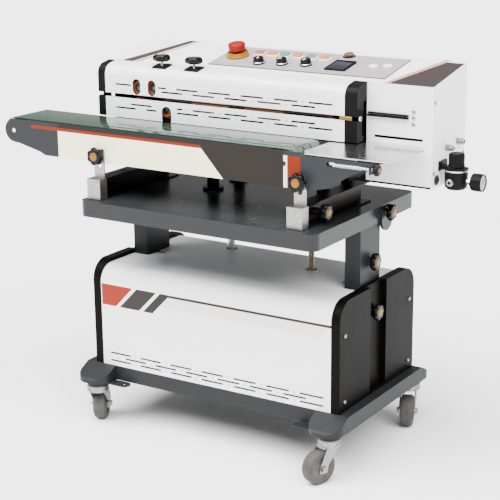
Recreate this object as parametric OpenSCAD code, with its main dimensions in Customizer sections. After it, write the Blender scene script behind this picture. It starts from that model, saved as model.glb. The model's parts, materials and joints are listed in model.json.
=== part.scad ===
// Continuous band sealer on a wheeled cabinet.
// Axes: +X to the operator's right, +Y to the back, +Z up.
// Origin: middle of the footprint, at floor level. Lengths in millimetres.

/* [Casters] */
// wheel diameter
wheel_d = 75; // [60:1:100]
// wheel width
wheel_w = 28; // [20:1:36]
// distance from swivel axis to wheel axis
caster_trail = 30; // [20:1:40]
// swivel axis, distance from the middle along X
caster_x = 312; // [280:1:340]
// swivel axis, distance from the middle along Y
caster_y = 192; // [160:1:220]

/* [Base and cabinet] */
// underside of the foot beams
foot_z = 110; // [100:1:130]
// top of the foot beams
floor_z = 145; // [130:1:160]
// cabinet sheet half width
cab_x = 305; // [280:1:330]
// cabinet half depth
cab_y = 175; // [150:1:200]
// top of the lid
lid_z = 383; // [350:1:420]
// radius of the bend at the top of the covers
lid_r = 40; // [20:1:60]
// thickness of the side panels
panel_t = 21.5; // [15:0.5:30]
// top of the side panels
panel_top = 392; // [360:1:430]
// half width of the groove in a side panel
groove_half = 37; // [25:1:45]

/* [Lift] */
// column width along X
col_w = 38; // [30:1:50]
// column depth along Y
col_d = 90; // [70:1:110]
// outer face of the columns
col_x = 303.5; // [290:0.5:304]
// lower edge of the tray
tray_z = 517; // [500:1:540]
// upper face of the tray
tray_top = 553; // [530:1:570]
// half width of the tray
tray_x = 304; // [280:1:304]
// lift rod radius
rod_r = 7; // [5:0.5:10]
// lift rod position along X
rod_x = 128.5; // [100:0.5:150]
// lift rod position along Y
rod_y = 47.7; // [30:0.1:60]

/* [Conveyor] */
// belt top surface
belt_z = 713; // [700:1:730]
// outer radius of the belt bend
belt_r = 30; // [25:1:35]
// left roller axis
roller_l = -522; // [-540:1:-500]
// right roller axis
roller_r = 205; // [180:1:220]
// front face of the skirt
skirt_y = -199.5; // [-205:0.5:-190]
// lower edge of the skirt
skirt_z = 633; // [625:1:640]
// upper face of the side table
table_z = 710; // [704:1:712]

/* [Sealing head] */
// left wall of the head
head_l = -362; // [-380:1:-340]
// right wall of the head
head_r = 457; // [440:1:470]
// front face of the head
head_front = -25; // [-30:1:-20]
// back face of the head
head_back = 138; // [120:1:150]
// underside of the head
head_z = 622; // [615:1:630]
// top edge of the front face
head_top = 836; // [820:1:850]
// tilt of the top in degrees
tilt = 11.1; // [0:0.1:20]
// front face of the guards
guard_y = -68; // [-75:1:-60]
// height of the film line
film_z = 762; // [755:1:770]

/* [Hidden] */
$fn = 48;
eps = 0.1;
sheet = 2;
gap = 0.3;
fit = 0.05;
wheel_r = wheel_d / 2;
axle_r = 4;
stem_r = 6;
fork_top = 96.7;
fork_under = 82;
beam_in = 270;
beam_out = 350;
beam_y = 230;
lug_x = 235;
lug_y = 190;
vent_w = 57;
vent_h = 3.4;
vent_step = 85.4;
panel_out = cab_x + panel_t;
groove_floor = 314;
col_in = col_x - col_w;
col_foot = 205;
rail_z = 600;
rail_back = 75;
rail_front = -199;
rail_right = [227, 264];
rail_left = [-292, -256];
roller_z = belt_z - belt_r;
belt_t = 2;
belt_front = -194;
belt_back = -80;
skirt_in = skirt_y + 2.5;
back_in = -77;
back_out = -74.5;
wheel_front = -60;
wheel_back = -36;
band_r = 21.1;
band_t = 0.8;
upper_z = film_z + 1 + band_r;
lower_z = film_z - 1 - band_r;
band_hub_r = band_r - band_t - gap;
shaft_r = 5;
reg_x = 490;
reg_y = 25;
slot_low = 758;
slot_high = 767;
guard_r = 24;
guard_left = -354;
guard_right = 274;
guard_foot = 712;
lip_depth = 7.4;
slope = tan(tilt);
guard_arc_y = guard_y + guard_r;
guard_arc_z = head_top + (guard_arc_y - head_front) * slope - guard_r / cos(tilt);
dial_x = [8, 64, 122];
dial_y = [22, 28, 34];
lamp_x = [8, 42, 74, 110, 145];
lamp_y = 78;
estop_at = [-69, 56];
button_at = [189, 108];
press_x = [-210, -122];
press_y = -43;
fork_angle = [-111.2, 114.8, -70.7, 68.8];
fork_at = [[1, -1], [-1, -1], [1, 1], [-1, 1]];

// ---- helpers ----

module block(x0, x1, y0, y1, z0, z1) {
  translate([x0, y0, z0])
    cube([x1 - x0, y1 - y0, z1 - z0]);
}

module cyl_x(x0, x1, y, z, r) {
  translate([x0, y, z])
    rotate([0, 90, 0])
      cylinder(r = r, h = x1 - x0);
}

module cyl_y(x, y0, y1, z, r) {
  translate([x, y1, z])
    rotate([90, 0, 0])
      cylinder(r = r, h = y1 - y0);
}

module cyl_z(x, y, z0, z1, r) {
  translate([x, y, z0])
    cylinder(r = r, h = z1 - z0);
}

// rectangle with round corners, centred
module round_rect(w, d, r) {
  square([w - 2 * r, d], center = true);
  square([w, d - 2 * r], center = true);
  for (sx = [-1, 1]) {
    for (sy = [-1, 1]) {
      translate([sx * (w / 2 - r), sy * (d / 2 - r)])
        circle(r = r);
    }
  }
}

// profile drawn in Y and Z, extruded from x0 to x1
module along_x(x0, x1) {
  translate([x0, 0, 0])
    rotate([90, 0, 90])
      linear_extrude(height = x1 - x0)
        children();
}

// profile drawn in X and Z, extruded from y0 to y1
module along_y(y0, y1) {
  translate([0, y1, 0])
    rotate([90, 0, 0])
      linear_extrude(height = y1 - y0)
        children();
}

// a point on the tilted top of the head
module on_slant(x, y) {
  translate([x, y, head_top + (y - head_front) * slope])
    rotate([tilt, 0, 0])
      children();
}

// loop of a flat belt round two axes, drawn in X and Z
module belt_loop(xa, xb, z, r, t) {
  difference() {
    loop_area(xa, xb, z, r);
    loop_area(xa, xb, z, r - t);
  }
}

module loop_area(xa, xb, z, r) {
  translate([xa, z - r])
    square([xb - xa, 2 * r]);
  translate([xa, z])
    circle(r = r);
  translate([xb, z])
    circle(r = r);
}

// star grip: stud below the face, hub, lobed body and cap above it
module star_grip(r, hub, body, stud, stud_r) {
  translate([0, 0, -stud])
    cylinder(r = stud_r, h = stud + hub - 1);
  translate([0, 0, gap])
    cylinder(r = r * 0.45, h = hub);
  translate([0, 0, hub])
    linear_extrude(height = body)
      difference() {
        circle(r = r);
        for (i = [0:6]) {
          rotate([0, 0, i * 360 / 7])
            translate([r * 1.12, 0])
              circle(r = r * 0.28);
        }
      }
  translate([0, 0, hub + 1])
    cylinder(r = r * 0.5, h = body + 1);
}

// ---- root: base and cabinet ----

module foot_beam() {
  intersection() {
    along_x(beam_in, beam_out)
      polygon([[-beam_y, foot_z], [beam_y, foot_z], [beam_y, foot_z + 8], [225, foot_z + 12],
        [178, floor_z], [-178, floor_z], [-225, foot_z + 12], [-beam_y, foot_z + 8]]);
    translate([(beam_in + beam_out) / 2, 0, foot_z - eps])
      linear_extrude(height = floor_z)
        round_rect(beam_out - beam_in, 2 * beam_y, 30);
  }
}

module lug(sy) {
  difference() {
    union() {
      block(lug_x, beam_in + 15, sy * lug_y - 13.5, sy * lug_y + 13.5, foot_z - 3, foot_z + eps);
      cyl_z(lug_x, sy * lug_y, foot_z - 3, foot_z + eps, 13.5);
    }
    cyl_z(lug_x, sy * lug_y, foot_z - 4, foot_z + 1, 5);
  }
}

module caster_stem(sy) {
  cyl_z(caster_x, sy * caster_y, fork_top + gap, foot_z + eps, 25);
  cyl_z(caster_x, sy * caster_y, 76, fork_top + 1, stem_r);
  cyl_z(caster_x, sy * caster_y, 76, fork_under - gap, 9);
}

module base_half() {
  foot_beam();
  for (sy = [-1, 1]) {
    lug(sy);
    caster_stem(sy);
  }
}

module base_frame() {
  color([0.16, 0.17, 0.18])
    union() {
      base_half();
      mirror([1, 0, 0])
        base_half();
      for (sy = [-1, 1]) {
        block(-beam_in - 1, beam_in + 1, sy * 155 - 20, sy * 155 + 20, foot_z, floor_z - sheet);
      }
      block(-beam_in - 1, beam_in + 1, -cab_y, cab_y, floor_z - sheet, floor_z);
    }
}

module cover_profile(inset) {
  r = lid_r - inset;
  translate([-cab_y + inset, floor_z])
    square([cab_y - inset, lid_z - lid_r - floor_z]);
  translate([-cab_y + lid_r, floor_z])
    square([cab_y - lid_r, lid_z - inset - floor_z]);
  translate([-cab_y + lid_r, lid_z - lid_r])
    circle(r = r);
}

module column_notch() {
  for (sx = [-1, 1]) {
    block(sx * 284.5 - 21, sx * 284.5 + 21, -col_d / 2 - 1, col_d / 2 + 1, lid_z - 10, lid_z + 5);
  }
}

// one row of vent slots with a small hole between neighbours
module vents(x0, count, z, y) {
  for (i = [0:count - 1]) {
    x = x0 + i * vent_step;
    block(x, x + vent_w, y - 3, y + 5, z - vent_h / 2, z + vent_h / 2);
  }
  for (i = [0:count - 2]) {
    x = x0 + i * vent_step + (vent_step + vent_w) / 2;
    cyl_y(x, y - 3, y + 5, z, 1.6);
  }
}

module front_cover() {
  color([0.93, 0.93, 0.92])
    difference() {
      along_x(-cab_x + 0.2, cab_x - 0.2)
        difference() {
          cover_profile(0);
          cover_profile(sheet);
          translate([-13.2, 0])
            square([500, 500]);
        }
      column_notch();
      vents(-283, 7, 175.5, -cab_y);
      vents(-240, 6, 166, -cab_y);
      vents(-283, 7, 157, -cab_y);
    }
}

module rear_cover() {
  color([0.93, 0.93, 0.92])
    difference() {
      union() {
        along_x(-cab_x + 0.2, cab_x - 0.2)
          mirror([1, 0])
            difference() {
              cover_profile(0);
              cover_profile(sheet);
            }
        block(-240, 240, -12.8, eps, lid_z - sheet, lid_z);
      }
      column_notch();
      cyl_z(rod_x, rod_y, lid_z - 5, lid_z + 5, 14);
      cyl_z(-124, 105, lid_z - 5, lid_z + 5, 14);
    }
}

module side_shape(inset) {
  r = 45 - inset;
  half = cab_y - inset;
  translate([-half, floor_z + inset])
    square([2 * half, panel_top - 45 - floor_z - inset]);
  translate([-cab_y + 45, floor_z + inset])
    square([2 * cab_y - 90, panel_top - floor_z - 2 * inset]);
  for (s = [-1, 1]) {
    translate([s * (cab_y - 45), panel_top - 45])
      circle(r = r);
  }
}

module side_panel() {
  difference() {
    along_x(cab_x, panel_out)
      side_shape(0);
    difference() {
      along_x(cab_x + sheet, panel_out - sheet)
        side_shape(sheet);
      block(cab_x, panel_out, -groove_half - sheet, groove_half + sheet, floor_z + 3, panel_top);
    }
    block(groove_floor, panel_out + 1, -groove_half, groove_half, floor_z + 5, panel_top + 1);
    for (s = [-1, 1]) {
      block(cab_x - 1, cab_x + sheet + 1, s * 102 - 58, s * 102 + 58, floor_z + 15, 365);
    }
    cyl_x(cab_x - 1, groove_floor + 1, 0, 326, 4 + fit);
  }
}

module side_panel_right() {
  color([0.13, 0.13, 0.14])
    side_panel();
}

module side_panel_left() {
  color([0.13, 0.13, 0.14])
    mirror([1, 0, 0])
      side_panel();
}

module panel_screws() {
  color([0.75, 0.75, 0.77])
    for (sx = [-1, 1]) {
      for (y = [-152, 152]) {
        for (z = [167, 316]) {
          translate([sx * panel_out, y, z])
            rotate([0, sx * 90, 0])
              cylinder(r = 5, h = 2.5);
        }
      }
    }
}

module lift_guides() {
  color([0.6, 0.61, 0.62])
    difference() {
      union() {
        for (sx = [-1, 1]) {
          difference() {
            block(sx * 282.9 - 21.9, sx * 282.9 + 21.9, -49.5, 49.5, floor_z, 379);
            block(sx * 285.6 - 20.4, sx * 285.6 + 20.4, -col_d / 2 - gap, col_d / 2 + gap, floor_z - 1, 380);
          }
        }
        block(-261.5, 261.5, 33, 49.5, 325, 335);
        block(rod_x - 20, rod_x + 20, 30, 66, 325, 335);
        translate([rod_x, rod_y, 335 - eps])
          cylinder(r = 13, h = 12, $fn = 6);
      }
      cyl_z(rod_x, rod_y, 320, 350, rod_r + gap);
    }
}

module air_pump() {
  color([0.25, 0.27, 0.3])
    union() {
      block(-180, -60, -70, 40, floor_z, floor_z + 8);
      block(-170, -110, -60, 30, floor_z + 7, 240);
      cyl_x(-111, -20, -15, 200, 32);
      cyl_z(-150, -15, 239, 252, 10);
    }
}

module caster_fork(i) {
  at = fork_at[i];
  leg_t = 3;
  inner = wheel_w / 2 + 2;
  color([0.72, 0.73, 0.75])
    translate([at[0] * caster_x, at[1] * caster_y, 0])
      rotate([0, 0, fork_angle[i]])
        difference() {
          union() {
            translate([0, 0, fork_under])
              cylinder(r = 25, h = fork_top - fork_under);
            for (s = [-1, 1]) {
              along_y(s * (inner + leg_t / 2) - leg_t / 2, s * (inner + leg_t / 2) + leg_t / 2)
                polygon([[-16, fork_under + 2], [20, fork_under + 2], [caster_trail + 10, wheel_r + 4],
                  [caster_trail + 10, wheel_r - 9], [caster_trail - 10, wheel_r - 9],
                  [caster_trail - 12, wheel_r + 6]]);
              cyl_y(caster_trail, s * 21.5 - 3, s * 21.5 + 3, wheel_r, 6.5);
            }
            cyl_y(caster_trail, -inner - 1, inner + 1, wheel_r, axle_r);
          }
          translate([0, 0, 70])
            cylinder(r = stem_r + fit, h = 40);
        }
}

module caster_wheel(i) {
  at = fork_at[i];
  color([0.85, 0.85, 0.84])
    translate([at[0] * caster_x, at[1] * caster_y, 0])
      rotate([0, 0, fork_angle[i]])
        difference() {
          union() {
            cyl_y(caster_trail, -wheel_w / 2, wheel_w / 2, wheel_r, wheel_r);
            cyl_y(caster_trail, -wheel_w / 2 - 1.5, wheel_w / 2 + 1.5, wheel_r, 9);
          }
          cyl_y(caster_trail, -30, 30, wheel_r, axle_r + fit);
          for (s = [-1, 1]) {
            difference() {
              cyl_y(caster_trail, s * wheel_w / 2 - 4, s * wheel_w / 2 + 4, wheel_r, 26);
              cyl_y(caster_trail, s * wheel_w / 2 - 5, s * wheel_w / 2 + 5, wheel_r, 12);
            }
          }
        }
}

module caster_fork_fr() { caster_fork(0); }
module caster_fork_fl() { caster_fork(1); }
module caster_fork_rr() { caster_fork(2); }
module caster_fork_rl() { caster_fork(3); }
module caster_wheel_fr() { caster_wheel(0); }
module caster_wheel_fl() { caster_wheel(1); }
module caster_wheel_rr() { caster_wheel(2); }
module caster_wheel_rl() { caster_wheel(3); }

// ---- lift: columns, tray, rails ----

module column() {
  difference() {
    union() {
      block(col_in, col_x, -col_d / 2, col_d / 2, col_foot, tray_z);
      block(col_in + 1, tray_x - 3.3, -col_d / 2, col_d / 2, tray_z - eps, tray_top - 3);
    }
    block(col_in + 3, col_x - 3, -col_d / 2 + 3, col_d / 2 - 3, col_foot - 1, tray_z - 3);
    cyl_x(col_x - 4, col_x + 1, 0, 440, 4 + fit);
  }
}

module lift_columns() {
  color([0.2, 0.21, 0.22]) {
    column();
    mirror([1, 0, 0])
      column();
  }
}

module tray() {
  mid_y = -14;
  depth = 460;
  color([0.22, 0.23, 0.25])
    difference() {
      union() {
        difference() {
          translate([0, mid_y, tray_z])
            linear_extrude(height = tray_top - tray_z)
              round_rect(2 * tray_x, depth, 20);
          translate([0, mid_y, tray_z - 1])
            linear_extrude(height = tray_top - tray_z - 2)
              round_rect(2 * tray_x - 6, depth - 6, 17);
        }
        block(tray_x - 1, tray_x + 6, 42, 92, 520, 548);
        cyl_x(tray_x, tray_x + 6, 67, 520, 25);
      }
      cyl_x(tray_x - 5, tray_x + 8, 62, 538, 4 + fit);
      block(tray_x - 4, tray_x, 40, 95, 490, tray_z);
    }
}

module lift_screw() {
  color([0.7, 0.66, 0.5])
    union() {
      cyl_z(rod_x, rod_y, 170, tray_top - 3, rod_r);
      translate([rod_x, rod_y, tray_top - 14])
        cylinder(r = 13, h = 11, $fn = 6);
    }
}

module air_hose() {
  hose_r = 3;
  bend = 30;
  color([0.9, 0.9, 0.88])
    cyl_z(-124, 105, 300, tray_top - 3, 7);
  color([0.85, 0.88, 0.9])
    union() {
      cyl_z(-214, 105, 470, tray_top - 3, hose_r);
      translate([-184, 105, 470])
        rotate([90, 180, 0])
          rotate_extrude(angle = 90)
            translate([bend, 0])
              circle(r = hose_r);
      cyl_x(-184, -164.8, 105, 440, hose_r);
      translate([-164.8, 105, 410])
        rotate([90, 0, 0])
          rotate_extrude(angle = 90)
            translate([bend, 0])
              circle(r = hose_r);
      cyl_z(-134.8, 105, 300, 410, hose_r);
    }
}

module rail(x0, x1) {
  difference() {
    block(x0, x1, rail_front, rail_back, tray_top, rail_z);
    block(x0 + 3, x1 + 1, rail_front - 1, rail_back + 1, tray_top + 3, rail_z - 3);
    block(x0 - 1, x0 + 4, -110, -60, 583, 592);
  }
}

module slide_rails() {
  color([0.13, 0.11, 0.1]) {
    rail(rail_right[0], rail_right[1]);
    rail(rail_left[0], rail_left[1]);
  }
}

// ---- head ----

module stand(x, y) {
  cyl_z(x, y, tray_top, tray_top + 6, 24);
  cyl_z(x, y, tray_top + 5, head_z + eps, 14);
}

module head_chassis() {
  color([0.25, 0.25, 0.26])
    difference() {
      union() {
        block(head_l + 2, head_r - 2, head_front, head_back - 2, head_z, head_z + 4);
        block(head_l + 2, 303.7, head_front, head_front + 4, head_z + 3, 833);
        for (x = [-105, 185]) {
          for (y = [0, 110]) {
            stand(x, y);
          }
        }
        for (z = [728, 798]) {
          cyl_y(-335, guard_y + sheet, head_front + 1, z, 5);
          cyl_y(150, guard_y + sheet, head_front + 1, z, 5);
        }
      }
      for (x = [-222.5, 235]) {
        cyl_y(x, head_front - 1, head_front + 5, upper_z, shaft_r + fit);
      }
      for (x = [-190, 235]) {
        cyl_y(x, head_front - 1, head_front + 5, lower_z, shaft_r + fit);
      }
      for (z = [743, 781]) {
        cyl_y(-265, head_front - 1, head_front + 5, z, shaft_r + fit);
      }
    }
}

module head_profile(inset) {
  drop = inset / cos(tilt);
  rise = (head_back - head_front) * slope;
  polygon([[head_front + inset, head_z], [head_back - inset, head_z],
    [head_back - inset, head_top + rise - inset * slope - drop],
    [head_front + inset, head_top + inset * slope - drop]]);
}

module head_housing() {
  color([0.93, 0.93, 0.92])
    difference() {
      along_x(head_l, head_r)
        head_profile(0);
      along_x(head_l + 2, head_r - 2)
        head_profile(2);
      block(head_l + 2, head_r - 2, head_back - 2, head_back + 1, head_z - 1, head_top + 28.5);
      block(head_l + 2, 304, head_front - 1, head_front + 4, head_z - 1, 833.4);
      block(head_l + 2, head_r - 2, head_front - 1, head_back - 2, head_z - 1, head_z + 4.2);
      block(322, 435, head_front - 1, head_front + 3, 720, 726);
      for (i = [0:2]) {
        on_slant(dial_x[i], dial_y[i])
          translate([0, 0, -5])
            cylinder(r = 8, h = 10);
      }
      on_slant(estop_at[0], estop_at[1])
        translate([0, 0, -5])
          cylinder(r = 11, h = 10);
      on_slant(button_at[0], button_at[1])
        translate([0, 0, -5])
          cylinder(r = 8, h = 10);
      on_slant(202, 44)
        translate([-24, -28, -5])
          cube([48, 56, 10]);
      for (at = [[44, 699], [97, 704]]) {
        cyl_x(head_r - 3, head_r + 1, at[0], at[1], 5);
      }
    }
}

module head_back_cover() {
  color([0.93, 0.93, 0.92])
    block(head_l + 2.2, head_r - 2.2, head_back - 2, head_back, head_z, head_top + 28.3);
}

// outline of the guards and caps, drawn in Y and Z
module guard_shape(inset, back) {
  plane_back = head_top + (back - head_front) * slope - inset / cos(tilt);
  arc_y = guard_arc_y - (guard_r - inset) * sin(tilt);
  arc_z = guard_arc_z + (guard_r - inset) * cos(tilt);
  polygon([[guard_y + inset, guard_foot], [back, guard_foot], [back, plane_back],
    [arc_y, arc_z], [arc_y, guard_arc_z], [guard_y + inset, guard_arc_z]]);
  intersection() {
    translate([guard_arc_y, guard_arc_z])
      circle(r = guard_r - inset);
    translate([guard_y, guard_arc_z])
      square([arc_y - guard_y, guard_r]);
  }
}

module guard_sheet() {
  along_x(guard_left, guard_right)
    difference() {
      guard_shape(0, -26);
      difference() {
        guard_shape(sheet, -26 + 1);
        translate([guard_y, slot_low - sheet])
          square([lip_depth, slot_high - slot_low + 2 * sheet]);
        translate([guard_y, guard_foot])
          square([25, sheet]);
      }
      translate([guard_y - 1, slot_low])
        square([60, slot_high - slot_low]);
      translate([-27, guard_foot - 1])
        square([5, 105]);
    }
}

module window(x, z, w, h) {
  cyl_y(x, guard_y - 2, guard_y + 6, z + (h - w) / 2, w / 2);
  cyl_y(x, guard_y - 2, guard_y + 6, z - (h - w) / 2, w / 2);
  block(x - w / 2, x + w / 2, guard_y - 2, guard_y + 6, z - (h - w) / 2, z + (h - w) / 2);
}

module slit(x0, x1, z) {
  block(x0, x1, guard_y - 2, guard_y + 4, z - vent_h / 2, z + vent_h / 2);
}

module guard_upper() {
  color([0.94, 0.94, 0.93])
    difference() {
      guard_sheet();
      block(-400, 400, -80, 0, 700, slot_low + 3);
      window(-265, 785.5, 22, 36);
      window(-222.5, 785.5, 22, 36);
      slit(-324.8, -281, 788);
      slit(-205, -182.4, 788);
      vents(-154, 5, 788, guard_y);
      vents(-195.9, 5, 779, guard_y);
      for (x = press_x) {
        on_slant(x, press_y)
          rotate([-tilt, 0, 0])
            translate([0, 0, -8])
              cylinder(r = 3 + fit, h = 16);
      }
    }
}

module guard_lower() {
  color([0.94, 0.94, 0.93])
    difference() {
      guard_sheet();
      block(-400, 400, -80, 0, slot_low + 1, 900);
      window(-183, 726, 26, 42);
      slit(-280.8, -224, 744);
      slit(-154, -139, 744);
      vents(-110.5, 4, 744, guard_y);
      slit(-324, -268, 734.5);
      slit(-239, -211, 734.5);
      vents(-153.8, 5, 734.5, guard_y);
    }
}

module cap(x0, x1) {
  difference() {
    along_x(x0, x1)
      guard_shape(0, -25);
    block(x0 - 1, x1 + 1, -40, 0, 700, 797);
    block(x0 - 1, x1 + 1, -46, 0, 724, slot_high);
    block(x0 - 1, x1 + 1, guard_y - 1, -50, slot_low, slot_high);
  }
}

module guard_caps() {
  color([0.12, 0.12, 0.13]) {
    cap(-375, guard_left);
    cap(guard_right, 304);
    block(308, 402, -30, head_front, 771, 774);
    block(308, 402, -32, head_front, 765, 769);
  }
}

module control_panel() {
  color([0.72, 0.71, 0.76])
    difference() {
      on_slant(112.5, 56)
        translate([-222.5, -63.2, 0])
          cube([445, 126.4, sheet]);
      for (i = [0:2]) {
        on_slant(dial_x[i], dial_y[i])
          translate([0, 0, -1])
            cylinder(r = 3 + fit, h = 10);
      }
      on_slant(estop_at[0], estop_at[1])
        translate([0, 0, -1])
          cylinder(r = 11, h = 10);
      on_slant(button_at[0], button_at[1])
        translate([0, 0, -1])
          cylinder(r = 6 + fit, h = 10);
      on_slant(202, 44)
        translate([-23, -27, -1])
          cube([46, 54, 10]);
    }
}

module panel_instruments() {
  color([0.9, 0.75, 0.1])
    on_slant(estop_at[0], estop_at[1])
      translate([0, 0, sheet])
        difference() {
          cylinder(r = 26, h = 11.5);
          translate([0, 0, -1])
            cylinder(r = 8 + fit, h = 20);
        }
  color([0.2, 0.2, 0.24])
    on_slant(202, 44)
      union() {
        translate([-25.5, -30, sheet])
          cube([51, 60, 4]);
        translate([-22, -26, -30])
          cube([44, 52, 33]);
      }
  color([0.3, 0.6, 0.55])
    for (x = lamp_x) {
      on_slant(x, lamp_y)
        translate([0, 0, sheet])
          cylinder(r = 7, h = 9);
    }
  color([0.1, 0.1, 0.1])
    for (x = press_x) {
      on_slant(x, press_y)
        difference() {
          translate([-19, -14, 0])
            cube([38, 28, 3]);
          rotate([-tilt, 0, 0])
            translate([0, 0, -4])
              cylinder(r = 3 + fit, h = 14);
        }
    }
}

module port(y, z) {
  difference() {
    cyl_x(head_r, head_r + 18, y, z, 7);
    cyl_x(head_r + 6, head_r + 19, y, z, 3.1);
  }
}

module head_fittings() {
  color([0.2, 0.2, 0.22])
    difference() {
      union() {
        cyl_z(reg_x, reg_y, 618, 657, 25);
        cyl_z(reg_x, reg_y, 656, 660, 12);
        block(head_r, head_r + 3, reg_y - 20, reg_y + 20, 655, 700);
        block(head_r, reg_x + 24, reg_y - 20, reg_y + 20, 660, 663);
        cyl_x(reg_x + 20, 528, reg_y, 637, 6);
        cyl_x(527, 552, reg_y, 637, 19);
        cyl_y(reg_x, -12, 3, 637, 8);
      }
      cyl_z(reg_x, reg_y, 645, 670, shaft_r + fit);
      cyl_y(reg_x, -13, 0, 637, 3.1);
    }
  color([0.75, 0.75, 0.77]) {
    port(44, 699);
    port(97, 704);
    for (at = [[-18, 802], [-17, 654], [130, 674]]) {
      cyl_x(head_r, head_r + 2.5, at[0], at[1], 4.5);
    }
    for (z = [755, 769, 781]) {
      cyl_y(413, head_front - 2.5, head_front, z, 4);
    }
  }
}

module sealing_blocks() {
  color([0.72, 0.45, 0.25])
    for (s = [0, 1]) {
      z = s == 0 ? 764.3 : 737.7;
      block(-120, -20, wheel_front, wheel_back, z, z + 22);
      for (x = [-100, -40]) {
        cyl_y(x, wheel_back - 1, head_front, z + 11, 4);
      }
    }
  color([0.75, 0.76, 0.78])
    for (s = [0, 1]) {
      z = s == 0 ? 764.3 : 737.7;
      block(20, 120, wheel_front, wheel_back, z, z + 22);
      for (x = [40, 100]) {
        cyl_y(x, wheel_back - 1, head_front, z + 11, 4);
      }
    }
}

module drive_motor() {
  color([0.3, 0.32, 0.35])
    difference() {
      union() {
        block(205, 265, -6, 30, 712, 772);
        cyl_y(235, 29, 120, lower_z, 28);
        block(215, 255, 0, 100, head_z + 4, 714);
      }
      cyl_y(235, -7, 8, lower_z, shaft_r + fit);
    }
}

module seal_bands() {
  color([0.6, 0.42, 0.3])
    along_y(wheel_front + 2, wheel_back - 2) {
      belt_loop(-222.5, 235, upper_z, band_r, band_t);
      belt_loop(-190, 235, lower_z, band_r, band_t);
    }
}

module band_wheel(x, z, shaft_end, gear) {
  color([0.85, 0.4, 0.2])
    union() {
      cyl_y(x, wheel_front, wheel_back, z, band_hub_r);
      cyl_y(x, wheel_back - 1, shaft_end, z, shaft_r);
      if (gear) {
        cyl_y(x, -18, -9, z, 21.6);
      }
    }
}

module band_wheel_upper_left() { band_wheel(-222.5, upper_z, -12, false); }
module band_wheel_lower_left() { band_wheel(-190, lower_z, -12, false); }
module band_wheel_upper_right() { band_wheel(235, upper_z, -8, true); }
module band_wheel_lower_right() { band_wheel(235, lower_z, 6, true); }

module press_wheel(z) {
  color([0.85, 0.35, 0.15])
    union() {
      cyl_y(-265, wheel_front, wheel_back, z, 18);
      cyl_y(-265, wheel_back - 1, -12, z, shaft_r);
    }
}

module press_wheel_upper() { press_wheel(781); }
module press_wheel_lower() { press_wheel(743); }

module pressure_knob(i) {
  color([0.1, 0.1, 0.1])
    on_slant(press_x[i], press_y)
      rotate([-tilt, 0, 0])
        union() {
          translate([0, 0, -8])
            cylinder(r = 3 - 0.02, h = 26);
          translate([0, 0, 17])
            cylinder(r = 18.5, h = 11);
        }
}

module pressure_knob_left() { pressure_knob(0); }
module pressure_knob_right() { pressure_knob(1); }

module estop_button() {
  color([0.85, 0.1, 0.08])
    on_slant(estop_at[0], estop_at[1])
      union() {
        translate([0, 0, -10])
          cylinder(r = 8, h = 32);
        translate([0, 0, 20])
          cylinder(r1 = 17, r2 = 20, h = 6);
        translate([0, 0, 26])
          cylinder(r1 = 20, r2 = 14, h = 7.6);
      }
}

module dial_knob(i) {
  color([0.1, 0.1, 0.1])
    on_slant(dial_x[i], dial_y[i])
      union() {
        translate([0, 0, -10])
          cylinder(r = 3, h = 14);
        translate([0, 0, sheet + gap])
          cylinder(r1 = 14, r2 = 12, h = 15);
      }
}

module dial_knob_1() { dial_knob(0); }
module dial_knob_2() { dial_knob(1); }
module dial_knob_3() { dial_knob(2); }

module round_button() {
  color([0.35, 0.2, 0.12])
    on_slant(button_at[0], button_at[1])
      union() {
        translate([0, 0, -10])
          cylinder(r = 6, h = 16);
        translate([0, 0, sheet + 3.5])
          cylinder(r = 11, h = 5);
      }
}

module regulator_knob() {
  color([0.1, 0.1, 0.1])
    union() {
      cyl_z(reg_x, reg_y, 650, 667, shaft_r);
      cyl_z(reg_x, reg_y, 664, 695, 18);
    }
}

// ---- conveyor ----

module slide_bracket(x0, x1) {
  mid = (x0 + x1) / 2;
  difference() {
    union() {
      block(x0, x1, -226, -200, tray_top + 1, rail_z);
      block(x0 + 4, x0 + 20, -201, 60, tray_top + 4, rail_z - 4);
      block(mid - 14, mid + 14, -203, -200, rail_z - eps, 665);
    }
    block(mid - 6, mid + 6, -204, -199, 628, 670);
    cyl_y(mid, -204, -199, 628, 6);
    cyl_x(x0 + 10, x0 + 21, -152, 578, 4 + fit);
  }
}

module slide_brackets() {
  color([0.7, 0.7, 0.72]) {
    slide_bracket(rail_right[0], rail_right[1]);
    slide_bracket(rail_left[0], rail_left[1]);
  }
}

// outline of a conveyor side plate, drawn in X and Z
module plate_shape() {
  difference() {
    union() {
      polygon([[roller_l, 710], [242, 710], [242, 704], [405, 704], [405, 691], [400, 690],
        [354, 671], [313, 643], [268, skirt_z], [-432, skirt_z], [-447, 640], [-537, 661], [-545, 672]]);
      translate([roller_l, roller_z])
        circle(r = 27);
    }
    translate([roller_l, roller_z])
      circle(r = shaft_r + fit);
    translate([roller_r, roller_z])
      circle(r = shaft_r + fit);
  }
}

module conveyor_frame() {
  color([0.36, 0.37, 0.4])
    union() {
      difference() {
        along_y(skirt_y, skirt_in)
          plate_shape();
        block(309, 410, skirt_y - 1, skirt_in + 1, 687, 697);
        cyl_y(309, skirt_y - 1, skirt_in + 1, 692, 5);
        for (x = [-274, 245.5]) {
          cyl_y(x, skirt_y - 1, skirt_in + 1, 650, 4 + fit);
        }
      }
      along_y(back_in, back_out)
        plate_shape();
      block(-490, 172, skirt_in - eps, back_in + eps, 708, 710.5);
      difference() {
        block(405 - eps, 408, -206, -190, 682, 704);
        cyl_x(400, 410, skirt_y + 1.25, 692, 3 + fit);
      }
      for (at = [[-400, 690], [-150, 690], [100, 690], [300, 662]]) {
        cyl_y(at[0], skirt_in - eps, back_in + eps, at[1], 6);
      }
    }
}

module conveyor_belt() {
  color([0.12, 0.13, 0.12])
    along_y(belt_front, belt_back)
      belt_loop(roller_l, roller_r, roller_z, belt_r, belt_t);
}

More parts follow.
